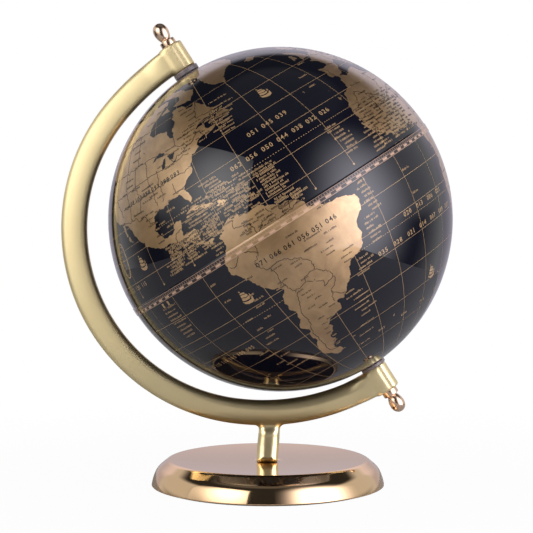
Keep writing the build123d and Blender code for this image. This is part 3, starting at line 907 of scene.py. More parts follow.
# %% Outlines of the lands
LANDS = [
    [  # North and Central America
        (-168, 65.7), (-166, 68.3), (-156.5, 71.3), (-141, 69.6), (-136, 68.9), (-128, 70.2), (-115, 68.5),
        (-108, 68), (-96, 67.5), (-94.5, 71.8), (-92, 69.5), (-85.5, 69.5), (-81.5, 69), (-82, 67),
        (-86, 66.2), (-88, 64.2), (-93, 62), (-94.7, 58.7), (-92.5, 57), (-88, 56.5), (-82.4, 55.2),
        (-82, 53), (-79.5, 51.3), (-78.7, 52.8), (-79.5, 54.7), (-76.6, 57.2), (-78.4, 58.9), (-77.5, 60.5),
        (-78, 62.4), (-73.7, 62.3), (-70, 61), (-69.4, 59), (-66, 58.8), (-64.5, 60.3), (-62, 57.8),
        (-60, 55), (-55.7, 52.6), (-58.5, 51.3), (-60, 50.3), (-66.5, 50.2), (-71, 46.9), (-67.5, 48.7),
        (-64.3, 48.9), (-65, 47), (-64, 46.2), (-60, 46.3), (-61.2, 45.2), (-63.6, 44.5), (-66, 43.5),
        (-66.2, 44.3), (-64.7, 45.3), (-67, 44.8), (-70, 43.7), (-70.8, 42.6), (-70, 41.7), (-74, 40.6),
        (-74.2, 39.4), (-75.4, 38), (-76, 36.9), (-75.6, 35.2), (-77.9, 33.9), (-79.3, 33), (-81.2, 31.5),
        (-81.3, 30), (-80.1, 27), (-80.3, 25.3), (-81.2, 25.2), (-81.9, 26.6), (-82.8, 27.9), (-83.8, 29.9),
        (-85.3, 29.7), (-88, 30.3), (-89.4, 30.2), (-89.3, 29.1), (-91, 29.2), (-94, 29.6), (-97.1, 27.8),
        (-97.4, 25.8), (-97.8, 22.3), (-96.1, 19.2), (-94.5, 18.2), (-92, 18.6), (-90.6, 19.6),
        (-90.3, 21.1), (-87, 21.5), (-87.6, 19.5), (-88.2, 18.3), (-88.7, 15.8), (-86, 15.9), (-83.2, 15),
        (-83.6, 11), (-82.2, 9.1), (-80, 9.1), (-77.3, 8.3), (-78.3, 8.3), (-79.6, 8.9), (-80.4, 7.4),
        (-82.9, 8.2), (-85.8, 10), (-85.8, 11.1), (-87.6, 12.9), (-91.4, 13.9), (-94.5, 16.2), (-97.8, 15.9),
        (-101.5, 17.6), (-105.5, 20), (-105.3, 21.6), (-108.5, 25), (-113, 31), (-114.8, 31.8), (-114.6, 30),
        (-109.5, 23), (-112, 25), (-114.9, 27.8), (-117.2, 32.7), (-120.6, 34.5), (-122.4, 37.2),
        (-124.2, 40.3), (-124.1, 44), (-124.6, 48.4), (-122.6, 47.5), (-123, 49), (-127.5, 51),
        (-130.3, 54.6), (-137, 58.8), (-144, 60), (-151.5, 59.3), (-151.5, 61), (-158, 56.5), (-162.5, 55),
        (-158, 58.4), (-162, 58.8), (-164.8, 60.5), (-166, 61.8), (-161, 64.4),
    ],
    [  # South America
        (-77.4, 8.6), (-76.8, 8), (-75.6, 10.6), (-74.8, 11), (-71.7, 12.4), (-71.6, 10.9), (-70, 12.1),
        (-68.2, 10.7), (-65, 10.1), (-62.7, 10.7), (-61.8, 9.8), (-60.8, 8.5), (-57, 6), (-54, 5.9),
        (-51.7, 4.2), (-50, 1.8), (-50.3, 0.2), (-48.5, -0.7), (-44.3, -2.7), (-41.5, -2.9), (-38.5, -3.8),
        (-35.3, -5.3), (-34.8, -7.5), (-37.2, -11.5), (-39, -13.5), (-39, -17.5), (-40.8, -21.8), (-42, -23),
        (-44.7, -23.3), (-48.5, -25.8), (-48.7, -28.4), (-53.4, -33.8), (-54.9, -34.9), (-57.8, -34.4),
        (-57.2, -36), (-57.6, -38.1), (-62.1, -39), (-65, -41), (-63.7, -42.4), (-65.3, -44.5), (-67.5, -46),
        (-65.8, -47.8), (-69, -50.5), (-68.4, -52.4), (-65.2, -54.7), (-69, -55.4), (-73, -53), (-75.3, -50),
        (-74.6, -47), (-73.3, -42), (-73.3, -37.2), (-71.6, -33), (-71.4, -30), (-70.2, -20), (-75.5, -15),
        (-76.9, -12.3), (-78.8, -8.5), (-81.2, -6), (-81, -2.2), (-78.8, 1.4), (-77.3, 3.8), (-77.5, 6.5),
        (-78, 7.6),
    ],
    [  # Greenland
        (-73, 78.2), (-68, 76), (-60, 76), (-55, 72.5), (-54, 69), (-52.5, 66), (-49, 62), (-44, 60),
        (-42.5, 62.5), (-38, 65.7), (-32, 68), (-25, 70.3), (-22, 73), (-19, 76.5), (-20, 80), (-30, 83.3),
        (-45, 82.7), (-60, 81.8), (-66, 80.2),
    ],
    [  # Baffin Island
        (-61.5, 66.7), (-64.8, 63.5), (-65.5, 61.9), (-70.5, 62.8), (-77.5, 64.5), (-73.5, 65.5),
        (-72.5, 67.8), (-89.5, 71), (-85, 73.5), (-80.5, 73.7), (-71, 71.2), (-67, 68.5),
    ],
    [(-90, 76.5), (-80, 76.2), (-77, 78.5), (-65, 81.8), (-70, 83), (-85, 82.3), (-93, 81)],
    [(-117, 70), (-105, 69), (-105, 72.5), (-118, 72)],
    [(-125, 72), (-118, 73.5), (-122, 76), (-110, 76), (-100, 74), (-98, 76.5), (-115, 77.5), (-124, 75)],
    [(-87, 64), (-80, 63.5), (-82, 65.5)],
    [(-59.3, 47.7), (-53.2, 46.7), (-52.8, 47.6), (-54, 49.4), (-55.7, 51.5), (-58.3, 49)],
    [(-64.3, 49.8), (-61.8, 49.1), (-63, 49.9)],
    [(-84.9, 21.9), (-82.5, 23), (-80, 23), (-74.2, 20.2), (-77.5, 19.9), (-78.5, 21.2), (-81.8, 22.2)],
    [(-74.4, 18.4), (-71.6, 17.7), (-68.5, 18.2), (-71.7, 19.8), (-73.3, 19.9), (-72.7, 19)],
    [(-78.3, 18.4), (-76.2, 18), (-76.9, 18.5)],
    [(-67.2, 18), (-65.6, 18), (-66, 18.5), (-67.2, 18.5)],
    [(-78.4, 25.2), (-77.8, 23.8), (-77.5, 24.6)],
    [(-75.9, 24), (-74.6, 22.8), (-75.3, 24)],
    [(-61.9, 10.1), (-60.9, 10.1), (-61, 10.9), (-61.8, 10.8)],
    [(-61.2, -51.8), (-58, -51.6), (-59, -52.4)],
    [(-24, 65.5), (-22.5, 63.9), (-18.8, 63.4), (-13.6, 65), (-16.5, 66.5)],
    [  # Africa
        (-5.9, 35.8), (-2, 35.1), (10, 37.3), (10.2, 34), (15.2, 32.3), (20, 30.5), (23, 32.7),
        (32.3, 31.2), (32.5, 29.9), (35.6, 24), (39.5, 15.5), (43.2, 12), (44.5, 10.5), (51.2, 11.9),
        (47, 4.5), (39.3, -4.8), (40.6, -11), (40.5, -15.5), (35, -19.8), (35.4, -23.9), (32.8, -26),
        (28.5, -33), (20, -34.8), (18.3, -33.9), (15.2, -27), (11.8, -17), (13.8, -12), (12.2, -6),
        (9, -1), (9.6, 3.9), (6, 4.3), (4.3, 6.3), (1.2, 6), (-2, 4.8), (-7.6, 4.4), (-11.4, 6.8),
        (-13.3, 8.8), (-16.8, 12.5), (-17.5, 14.7), (-16.5, 16), (-17, 21), (-14.4, 26.3), (-9.8, 29.8),
        (-7.6, 33.6),
    ],
    [(49.3, -12), (50.5, -15.5), (47.2, -25), (43.3, -22), (44.3, -16.2)],
    [  # Europe and Asia
        (-5.6, 36.1), (-9, 37), (-9.4, 38.8), (-8.8, 42), (-9.2, 43.2), (-1.8, 43.4), (-1.2, 46),
        (-4.7, 48.4), (1.6, 50.9), (4.5, 52.3), (8.3, 53.8), (8.2, 57), (10.6, 57.7), (10, 55),
        (12.5, 54.4), (18.5, 54.7), (21, 55.5), (24.3, 58.5), (30, 59.9), (22, 60.4), (21.3, 63),
        (25.3, 65), (17.3, 61), (18.8, 60), (14.3, 55.5), (11, 59), (8, 58), (5.3, 59.5), (5.2, 62),
        (12, 66), (25.7, 71.1), (41, 67), (44, 68.5), (60.5, 69.5), (73, 71.5), (80, 73.5), (104, 77.7),
        (113, 74), (140, 72.5), (160, 69.6), (180, 69), (190, 66), (179.5, 62.5), (170, 60), (162, 55),
        (156.7, 51), (156, 57), (163, 61.5), (142.5, 59.2), (135.3, 54.8), (141, 52), (135.5, 44),
        (127.6, 39.8), (129.4, 36.5), (126.5, 34.4), (125, 38), (121.3, 39), (118, 39), (122.5, 37),
        (119.3, 35), (121.8, 31.8), (119, 25.5), (114, 22.3), (105.8, 19), (109.2, 13), (105, 8.7),
        (100.5, 13.4), (99.3, 10), (103.4, 4), (104.2, 1.4), (101.3, 3), (98.3, 8), (97.6, 16.5),
        (94.4, 16), (91.7, 22.5), (86.9, 21), (80.2, 13), (77.5, 8), (72.7, 21), (67, 24.8), (57, 27),
        (50.2, 30), (48, 30), (51.5, 25), (56.4, 26.2), (59.8, 22.5), (57.7, 19), (45, 12.8), (43, 12.8),
        (39, 21.3), (34.5, 29.5), (32.6, 30), (34.3, 31.3), (36.2, 36.8), (27.3, 36.8), (26.3, 39.3),
        (29, 41), (41.5, 41.5), (39.2, 47.2), (33.6, 44.4), (30.8, 46.5), (28.2, 43.9), (26.2, 40.7),
        (23.8, 40), (22.7, 36.5), (19.4, 41.3), (13.7, 45.5), (12.4, 44.5), (18.4, 40.1), (15.7, 38),
        (12.2, 41.7), (8.7, 44.4), (3.2, 41.9), (-0.3, 39.3), (-2, 36.8),
    ],
    [(-5.7, 50.1), (1.4, 51.2), (1.7, 52.7), (-2, 57.5), (-5.1, 58.6), (-3, 54), (-5.2, 51.8)],
    [(-10, 52), (-6.2, 52.2), (-5.8, 54.5), (-8, 55.3)],
    [
        (113.7, -22.5), (115.7, -32), (118, -35), (123.7, -33.9), (131, -31.5), (135.7, -34.9),
        (140.5, -38), (146.3, -39), (150, -37.3), (153.2, -26), (145.5, -15), (142.5, -10.8), (140, -17.5),
        (135.5, -14.8), (136.8, -12.2), (130.8, -12.4), (122.2, -18),
    ],
    [(145, -41), (148.3, -41), (146.8, -43.6)],
    [(172.7, -34.5), (178.4, -37.7), (175.2, -41.5), (171, -45.9), (166.6, -46), (172.8, -40.7)],
    [(130.3, 31.3), (135.5, 33.6), (140.7, 35.7), (142, 39.6), (145.4, 43.3), (141.7, 45.4), (139.8, 40),
     (136.8, 37), (131, 34.2)],
    [(109, 1.5), (111, -3), (116.3, -3.8), (119, 1), (117, 7)],
    [(95.4, 5.6), (106, -3), (105.6, -5.8), (98.5, 1.8)],
    [(105.3, -6.8), (114.4, -8.7), (112.7, -7)],
    [(119.3, -5.5), (120.5, -2), (125, 1.3), (120, 1), (122, -5)],
    [(131, -0.8), (138, -1.7), (147, -6), (150.7, -10.5), (143, -9.1), (138, -8.3), (133, -4)],
    [(120.3, 16), (124, 12.8), (121, 14), (122.3, 18.4)],
    [(122, 7), (126, 6.5), (125.5, 9.7)],
    [(79.8, 9.5), (81.8, 7), (80.2, 6)],
    [
        (-180, -84), (-120, -85), (-70, -83), (-10, -85), (60, -83.5), (120, -84.5), (180, -84),
        (180, -90), (-180, -90),
    ],
]
WATERS = [  # lakes and inland seas
    [(-92, 46.7), (-88, 48.8), (-84.6, 46.6), (-88, 46.9)],
    [(-88, 42), (-86.2, 42.3), (-85, 45.8), (-87.8, 43.6)],
    [(-84.5, 46), (-80, 45.5), (-82, 43.2), (-83.6, 43.8)],
    [(-83.3, 41.7), (-79, 42.8), (-81.5, 42.6)],
    [(-79.6, 43.4), (-76.3, 43.6), (-78, 44)],
    [(-99, 53.8), (-96.4, 50.6), (-97.8, 52.5)],
    [(-117, 61), (-110, 62.6), (-114, 62.3)],
    [(-124.5, 66), (-118, 65.6), (-121, 67)],
    [(47, 45), (54, 45.5), (53.5, 41), (54, 37), (49.5, 37.5), (49, 42)],
    [(31.8, -0.5), (34, -0.5), (33, -2.6)],
]
print("lands", len(LANDS), "lakes and inland seas", len(WATERS))

# %% Ragged coasts
rng = np.random.default_rng(1429)
EDGE_LIMIT = 2.0        # millimetres
HALVINGS = 5
COAST_ROUGH = 0.10
LAKE_ROUGH = 0.08
NARROWEST = 0.15        # the least width of a degree of longitude, in degrees of latitude
ISLETS = [  # longitude, latitude and size in degrees
    (-157.5, 20.8, 0.7), (-91, -0.5, 0.6), (-16.5, 28.2, 0.7), (-25.5, 37.8, 0.5), (-23.8, 15.5, 0.6),
    (-62, 17.3, 0.35), (-61.2, 15.3, 0.4), (-61, 13.8, 0.35), (-59.5, 13.2, 0.3), (-64.8, 32.3, 0.25),
    (-36.8, -54.4, 0.7), (55.5, -21, 0.6), (-76.5, 23.6, 0.35), (-73, 22.3, 0.35), (-69, 12.2, 0.35),
    (-17, 32.8, 0.4),
]
ISLET_CORNERS = 7
ISLET_SPREAD = (0.6, 1.3)


def ragged(outline, rough):
    """A coast with bays: each edge over the limit gets a middle point, pushed sideways at random."""
    ring = np.array(outline, float)
    for _ in range(HALVINGS):
        after = np.roll(ring, -1, axis=0)
        step = after - ring
        narrow = np.maximum(np.cos(np.radians(ring[:, 1])), NARROWEST)
        length = np.hypot(step[:, 0] * narrow, step[:, 1]) * MM_PER_DEGREE
        push = rng.normal(0, rough, len(ring))[:, None]
        middle = (ring + after) / 2 + push * np.stack([-step[:, 1] / narrow, step[:, 0] * narrow], -1)
        both = np.stack([ring, middle], 1).reshape(-1, 2)
        keep = np.stack([np.ones(len(ring), bool), length > EDGE_LIMIT], -1).ravel()
        ring = both[keep]
    return ring


coasts = [ragged(outline, COAST_ROUGH) for outline in LANDS]
for lon, lat, size in ISLETS:
    turn = np.arange(ISLET_CORNERS) / ISLET_CORNERS * 2 * math.pi
    spread = rng.uniform(*ISLET_SPREAD, ISLET_CORNERS) * size
    coasts.append(np.stack([lon + spread * np.cos(turn), lat + spread * np.sin(turn)], -1))
lakes = [ragged(outline, LAKE_ROUGH) for outline in WATERS]
print("coasts", len(coasts), "with", sum(len(ring) for ring in coasts), "points")

# %% [markdown]
# ## Land as a distance
#
# Paint needs a clean edge, and the mesh has a point only about every millimetre. So each point doesn't
# store land or sea, but how far it is from the nearest coast in millimetres, positive on land. The
# distance changes evenly between points, and the place where it passes zero is a smooth coast line.

# %% Distance to the coast
FIELD_LIMIT = 3.0
FIRST_LON = -180.0
CAP_LAT = -80


def inside(lats, lons, ring):
    """Whether grid points are inside a ring: along each row, every crossing to the west flips the answer."""
    width = len(lons)
    step = 360.0 / width
    after = np.roll(ring, -1, axis=0)
    crosses = (ring[:, 1, None] > lats) != (after[:, 1, None] > lats)
    edge, row = np.nonzero(crosses)
    share = (lats[row] - ring[edge, 1]) / (after[edge, 1] - ring[edge, 1])
    where = ring[edge, 0] + share * (after[edge, 0] - ring[edge, 0])
    column = np.clip(np.ceil((where - FIRST_LON) / step), 0, 2 * width - 1).astype(int)
    flips = np.zeros((len(lats), 2 * width), int)
    np.add.at(flips, (row, column), 1)
    odd = np.cumsum(flips, axis=1) % 2 == 1
    return odd[:, :width] | odd[:, width:]


def shorten(near, lats, lons, ring):
    """Lowers each grid point's distance to that of the ring's nearest edge, within a small window. The polar
    cap's ring partly follows the edge of the flat map, which is no coast, so its edges are left out."""
    angles = true_angle(lats)
    margin = FIELD_LIMIT / MM_PER_DEGREE
    step = 360.0 / len(lons)
    ends = np.stack([ring, np.roll(ring, -1, axis=0)], 1)
    for (lon_a, lat_a), (lon_b, lat_b) in ends[ends[:, :, 1].min(1) >= CAP_LAT]:
        angle_a, angle_b = true_angle([lat_a, lat_b])
        low, high = sorted((angle_a, angle_b))
        rows = np.nonzero((angles > low - margin) & (angles < high + margin))[0]
        if len(rows) == 0:
            continue
        narrow = max(math.cos(math.radians((low + high) / 2)), 0.05)
        first = math.floor((min(lon_a, lon_b) - margin / narrow - FIRST_LON) / step)
        last = math.ceil((max(lon_a, lon_b) + margin / narrow - FIRST_LON) / step)
        columns = np.arange(first, min(last, first + len(lons)))
        x = (FIRST_LON + columns * step - lon_a) * narrow * MM_PER_DEGREE
        y = (angles[rows, None] - angle_a) * MM_PER_DEGREE
        run_x = (lon_b - lon_a) * narrow * MM_PER_DEGREE
        run_y = (angle_b - angle_a) * MM_PER_DEGREE
        share = np.clip((x * run_x + y * run_y) / (run_x**2 + run_y**2 + 1e-9), 0, 1)
        place = np.ix_(rows, columns % len(lons))
        near[place] = np.minimum(near[place], np.hypot(x - share * run_x, y - share * run_y))


def land_mask(lats, lons, rings):
    """Whether grid points lie inside any of the rings."""
    return np.any([inside(lats, lons, ring) for ring in rings], axis=0)


def land_field(lats, lons):
    """Signed distance to the coast on a grid: positive on land, negative at sea, within the limit."""
    land = land_mask(lats, lons, coasts) & ~land_mask(lats, lons, lakes)
    near = np.full(land.shape, FIELD_LIMIT)
    for ring in coasts + lakes:
        shorten(near, lats, lons, ring)
    return np.where(land, near, -near)


def store_land(piece, field):
    """Keeps a field on a piece's points, where the inks read it."""
    piece.data.attributes.new("land", "FLOAT", "POINT").data.foreach_set("value", field.ravel())
    print(piece.name, "land share", round(float((field > 0).mean()), 3))


# %% [markdown]
# ## The two printed half covers
#
# Each half is a closed skin: a fine outer grid of latitudes and longitudes, which carries the map, and a
# coarse inner grid, one print layer further in. At the pole it stops at the hole for the axle's bush.

# %% Map halves
COLUMNS = 540
OUTER_ROWS = 164
INNER_ROWS = 14
PRINT_THICK = 0.4 * MM


def all_round(columns):
    """Evenly spaced longitudes all round the ball."""
    return FIRST_LON + np.arange(columns) * 360.0 / columns


def map_half(name, node, sign):
    """Outer grid from the equator to the pole hole, inner grid back, joined at both edges."""
    hole_r = on_axle(node)[2]
    edge_angle = 90 - math.degrees(math.asin(hole_r / BALL_R))
    every = np.linspace(0, 90, 1801)
    last_lat = float(np.interp(edge_angle, np.abs(true_angle(sign * every)), every))
    outer_lats = sign * np.linspace(0, last_lat, OUTER_ROWS)
    inner_lats = sign * np.linspace(last_lat, 0, INNER_ROWS)
    lons = all_round(COLUMNS)
    outer = on_ball(*np.meshgrid(lons, outer_lats))
    inner = on_ball(*np.meshgrid(lons, inner_lats), -PRINT_THICK)
    points = np.concatenate([outer, inner])
    faces = grid_faces(len(points), COLUMNS, close_rows=True, close_columns=True)
    piece = new_piece(name, points.reshape(-1, 3), faces[:, ::sign].tolist(), "globe")
    store_land(piece, np.concatenate([land_field(outer_lats, lons), np.full(inner.shape[:2], -FIELD_LIMIT)]))
    stand_for(node)
    return piece


north_map = map_half("north_map", "north_map_cover", 1)
south_map = map_half("south_map", "south_map_cover", -1)

# %% [markdown]
# ## The printed ball's finish
#
# The map is printed in two inks: a blue-black that covers the sea, and a gold ink full of fine metal
# flakes, so that the lands shine softly like satin metal. A thick clear coat lies over both and carries
# the sharp reflections. The land distance picks the ink, with a little noise to make the coast crisp
# and irregular at a scale finer than the mesh.

# %% Map inks
GLOSS = 0.015
INK_ROUGH = 0.46
GOLD_METAL = 0.9


def print_inks(look):
    """The colour of the two inks by the land distance, how much of it is gold, and the print's height."""
    fray = (look.noise(1100.0, 2.0) - 0.5) * 0.7 + (look.noise(420.0, 2.0) - 0.5) * 1.5
    on_land = (look.attribute("land") + fray).rise(-0.10, 0.10)
    relief = look.noise(95.0, 5.0, 0.62, distortion=0.6)
    tone = look.noise(26.0, 2.0)
    gold = look.mix(relief.rise(0.25, 0.75), colour(157, 126, 91), colour(190, 157, 115))
    gold = look.mix(tone.rise(0.35, 0.75) * 0.4, gold, colour(170, 140, 102))
    sea = look.mix(tone, colour(11, 12, 21), colour(15, 16, 27))
    height = on_land * 0.3 + relief * on_land * 0.5 + 0.1 * look.noise(1800.0, 2.0)
    return look.mix(on_land, sea, gold), on_land, height


def gloss_coat(look):
    """The clear coat over every ink, and no gloss of the ink's own under it."""
    look.set(Coat_Weight=1.0, Coat_Roughness=GLOSS, Coat_IOR=1.5, Specular_IOR_Level=0.0)


ink = Look("map_print_gloss")
ink_colour, gold_share, ink_height = print_inks(ink)
ink.set(Base_Color=ink_colour, Metallic=gold_share * GOLD_METAL)
ink.set(Roughness=INK_ROUGH - 0.06 * gold_share + 0.06 * ink.noise(300.0, 2.0))
gloss_coat(ink)
ink.bump(ink_height, 0.03 * MM)
ink.on(north_map, south_map)

# %% [markdown]
# ## Fine printed lines
#
# Meridians, parallels, borders and marks are far thinner than the mesh of the map, so they are ribbons of
# ink of their own, a few hundredths of a millimetre above it. A ribbon is a line of points on the ball,
# moved half its width to either side, within the surface.

# %% Ribbon makers
INK_LIFT = 0.05 * MM
RIBBON_STEP = 2.4


def along(corners, step=RIBBON_STEP):
    """Points spaced evenly, in millimetres, on the run between corners given as longitude and latitude."""
    corners = np.asarray(corners, float)
    move = np.diff(corners, axis=0)
    narrow = np.cos(np.radians(corners[:-1, 1]))
    length = np.hypot(move[:, 0] * narrow, move[:, 1]) * MM_PER_DEGREE
    place = np.concatenate([[0], np.cumsum(length)])
    every = np.linspace(0, place[-1], max(2, int(place[-1] / step) + 1))
    return np.interp(every, place, corners[:, 0]), np.interp(every, place, corners[:, 1])


def ribbon(lon, lat, width):
    """Edge points of a strip: each point plus and minus half the width across the way it runs."""
    middle = on_ball(lon, lat, INK_LIFT)
    side = unit(np.cross(unit(middle - centre), np.gradient(middle, axis=0)))
    half = width * MM / 2
    return np.stack([middle - side * half, middle + side * half], 1)


def patch(lon, lat, shape):
    """A flat outline in millimetres east and north of a place, laid on the ball."""
    shape = np.asarray(shape, float) * MM
    spot = on_ball(lon, lat)
    out = unit(spot - centre)
    east = unit(np.cross(up, out))
    flat = spot + shape[:, :1] * east + shape[:, 1:] * np.cross(out, east)
    return centre + unit(flat - centre) * (BALL_R + INK_LIFT)


class Print(Gathering):
    """Collects the ribbons and patches of one ink."""

    def line(self, lon, lat, width):
        """A ribbon through places, with a width in millimetres."""
        strip = ribbon(lon, lat, width)
        self.add(strip.reshape(-1, 3), grid_faces(len(strip), 2)[:, ::-1].tolist())

    def path(self, corners, width):
        """A ribbon from corner to corner."""
        self.line(*along(corners), width)

    def shape(self, lon, lat, outline):
        """One face with an outline in millimetres about a place."""
        self.add(patch(lon, lat, outline), [list(range(len(outline)))])


gold_print = Print()
dark_print = Print()

# %% Meridians, parallels and tropics
LINE = 0.22
PARALLEL_STEP = 10
MERIDIAN_STEP = 15
MERIDIAN_END = 86
MERIDIAN_SOUTH = -1.6       # where the southern part starts, clear of the tape
DOT_LAT = 4.0
DOT_R = 0.62
TROPIC = 23.4
DASH_STEP = 1.0
DASH_LONG = 0.42
DASH_WIDE = 0.36

for lat in range(-80, 81, PARALLEL_STEP):
    if lat != 0:
        gold_print.line(np.linspace(-180, 180, 241), lat, LINE)
for lon in range(-180, 180, MERIDIAN_STEP):
    gold_print.line(lon, np.linspace(DOT_LAT, MERIDIAN_END, 70), LINE)
    gold_print.line(lon, np.linspace(MERIDIAN_SOUTH, -MERIDIAN_END, 74), LINE)
    gold_print.shape(lon, DOT_LAT, arc((0, 0), DOT_R, 0, 320, 9))
for lat in (TROPIC, -TROPIC):
    for lon in np.arange(-180, 180, DASH_STEP):
        gold_print.path([(lon, lat), (lon + DASH_LONG, lat)], DASH_WIDE)
print("grid lines have", gold_print.count, "points")

# %% Borders
BORDERS = [
    [(-51.7, 4.2), (-54.6, 2.3), (-59.8, 1.9), (-60, 5), (-64, 4), (-66.9, 1.2), (-69.8, 1.2), (-69.9, -4.2),
     (-73.5, -7.3), (-70.6, -11), (-65.4, -10.5), (-60.5, -13.8), (-58.2, -16.3), (-57.5, -18),
     (-58.2, -20.2), (-55.8, -22.3), (-54.3, -24.1), (-54.6, -25.6), (-53.8, -27.1), (-57.6, -30.2),
     (-53.4, -33.8)],
    [(-71.6, 11), (-72.5, 8), (-67.5, 6.1), (-66.9, 1.2)],
    [(-78.8, 1.4), (-75.2, -0.1), (-69.9, -4.2)],
    [(-80.3, -3.4), (-78.3, -4.7), (-75.3, -0.9)],
    [(-69.5, -11), (-69, -15), (-69.5, -17.5), (-70.3, -18.3)],
    [(-69.5, -17.5), (-68.2, -21.5), (-67, -22.8), (-62.8, -22), (-62.3, -20.5), (-58.2, -19.8)],
    [(-67, -22.8), (-68.5, -27), (-70, -31), (-70, -36), (-71.5, -39.5), (-71.8, -44), (-72, -49),
     (-71.9, -52), (-68.4, -52.3)],
    [(-62.6, -22.2), (-58, -25), (-58.6, -27.3), (-54.6, -25.6)],
    [(-57.6, -30.2), (-58.2, -34)],
    [(-60, 5.2), (-61, 8)],
    [(-57.2, 6), (-57.3, 3.3), (-56.5, 1.9)],
    [(-54, 5.8), (-54.6, 2.3)],
    [(-123, 49), (-109, 49), (-95, 49), (-89, 48), (-84, 46.5), (-82.5, 45.3), (-82.5, 42), (-79, 43.2),
     (-76, 44), (-74.7, 45), (-71.5, 45), (-69.2, 47.4), (-67.8, 47), (-67, 45)],
    [(-117.1, 32.5), (-114.7, 32.7), (-111, 31.3), (-106.5, 31.8), (-104.5, 29.5), (-101, 29.8),
     (-99.2, 26.5), (-97.2, 25.9)],
    [(-141, 69.6), (-141, 60.3), (-130, 55.5)],
    [(-92.2, 14.5), (-91, 17.8), (-89.1, 17.8), (-88.3, 18.5)],
    [(-89.3, 14.4), (-83.2, 15)],
    [(-85.7, 11.1), (-83.7, 10.9)],
    [(-120, 49), (-120, 42), (-114.6, 35)],
    [(-111, 49), (-111, 42), (-109, 37), (-109, 31.4)],
    [(-104, 49), (-104, 41), (-102, 37), (-103, 32)],
    [(-96.5, 49), (-96.5, 43), (-94.6, 37), (-94, 31)],
    [(-90.5, 43), (-91.2, 38), (-90, 34), (-91.2, 31)],
    [(-124, 42), (-111, 42), (-95.5, 42.5), (-83, 41.8), (-75, 42)],
    [(-114, 37), (-94, 37), (-81.7, 36.6), (-76, 36.6)],
    [(-85, 35), (-85, 31), (-81.5, 30.7)],
    [(-120, 60), (-102, 60), (-95, 60)],
    [(-110, 60), (-110, 49)],
    [(-102, 60), (-101.5, 49)],
    [(-79.5, 51.5), (-79.4, 47), (-74.6, 45.3)],
    [(-64, 60), (-67, 53), (-57.2, 52)],
    [(-8.7, 27.7), (-4.8, 25), (4, 19.2), (9.5, 27), (9, 33)],
    [(-17, 21), (-13, 21.3), (-8.7, 27.7)],
    [(-16.5, 16), (-12, 14.8), (-5.5, 15.5), (-4.8, 25)],
    [(-12, 14.8), (-11, 12.2), (-8, 10.2), (-8.3, 7), (-7.6, 4.4)],
    [(-5.5, 10.4), (-3, 5)],
    [(0.2, 15), (2.5, 12), (1.6, 6.2)],
    [(4, 19.2), (14, 23), (15, 13), (14.5, 6), (16, 2), (12, -5)],
    [(24, 31), (25, 20), (22, 11), (27, 5), (31, 3), (30, -4), (30, -9), (24, -13), (22, -17), (12, -17.3)],
    [(25, 22), (37, 22)],
    [(36, 14), (34, 8), (34, 4), (41.5, 4), (41.5, -1)],
    [(20, -18), (20, -28), (16.5, -28.6)],
    [(31, -22), (26, -24), (20.7, -26.8)],
    [(-1.8, 43.3), (3.2, 42.4)],
    [(-8.8, 42), (-6.5, 41.5), (-7.2, 37.3)],
    [(2.6, 51), (8, 49), (7, 46), (7.6, 43.9)],
    [(14.3, 54), (15, 51), (12.5, 48), (17, 48), (23, 48.5), (24, 54), (28, 59)],
    [(30, 60.5), (30, 69.5)],
    [(12, 61), (14.5, 66), (20.5, 69)],
    [(48, 46), (60, 51), (80, 51), (87, 49), (98, 50), (116, 50), (127, 50), (134, 48)],
    [(60, 37), (67, 37), (74, 37), (80, 31), (92, 28), (98, 25), (105, 23), (108, 21.5)],
    [(129, -15), (129, -32)],
    [(138, -16.5), (138, -26), (141, -29), (141, -38)],
    [(129, -26), (138, -26)],
]
BORDER_STEP = 1.1
BORDER_WOBBLE = 0.24
BORDER_WIDE = 0.32
for border in BORDERS:
    lon, lat = along(border, BORDER_STEP)
    wobble = rng.normal(0, BORDER_WOBBLE, (2, len(lon)))
    wobble[:, [0, -1]] = 0
    dark_print.line(lon + wobble[0], lat + wobble[1], BORDER_WIDE)
print("borders have", dark_print.count, "points")

# %% [markdown]
# ## Degree numbers
#
# Rows of plain numbers name the meridians that they cross. The built-in font gives each number as a flat
# mesh, whose points are then laid on the ball around the place that the number marks.

# %% Numbers on the meridians
NUMBER_ROWS = [  # latitude, first and last longitude, step, size in millimetres, ink
    (34.7, -51, -39, 6, 4.0, gold_print), (27.0, -62, -26, 6, 3.9, gold_print),
    (-21.5, -20, 1, 7, 3.8, gold_print), (-28.5, -35, 7, 7, 3.8, gold_print),
    (8.0, -150, -115, 5, 3.4, gold_print), (-33.0, -130, -95, 5, 3.4, gold_print),
    (35.0, -175, -140, 5, 3.4, gold_print), (-15.0, 60, 95, 5, 3.4, gold_print),
    (-45.0, 60, 110, 10, 3.4, gold_print), (12.0, 135, 165, 5, 3.2, gold_print),
    (-40.0, -165, -140, 5, 3.4, gold_print), (-57.0, -45, 30, 15, 2.6, gold_print),
    (-8.0, -71, -45, 5, 3.9, dark_print), (37.5, -108, -83, 5, 3.6, dark_print),
    (57.5, -120, -100, 10, 2.8, dark_print), (18.0, -5, 30, 5, 3.0, dark_print),
    (-24.0, 20, 30, 5, 2.4, dark_print), (52.0, 40, 120, 10, 3.2, dark_print),
    (64.0, 70, 140, 10, 2.4, dark_print), (-25.0, 120, 145, 5, 3.0, dark_print),
    (50.0, 15, 30, 5, 2.2, dark_print),
]
DIGIT_WEIGHT = 0.016        # how much bolder than the font, as a share of the size
DIGIT_SPACING = 1.25


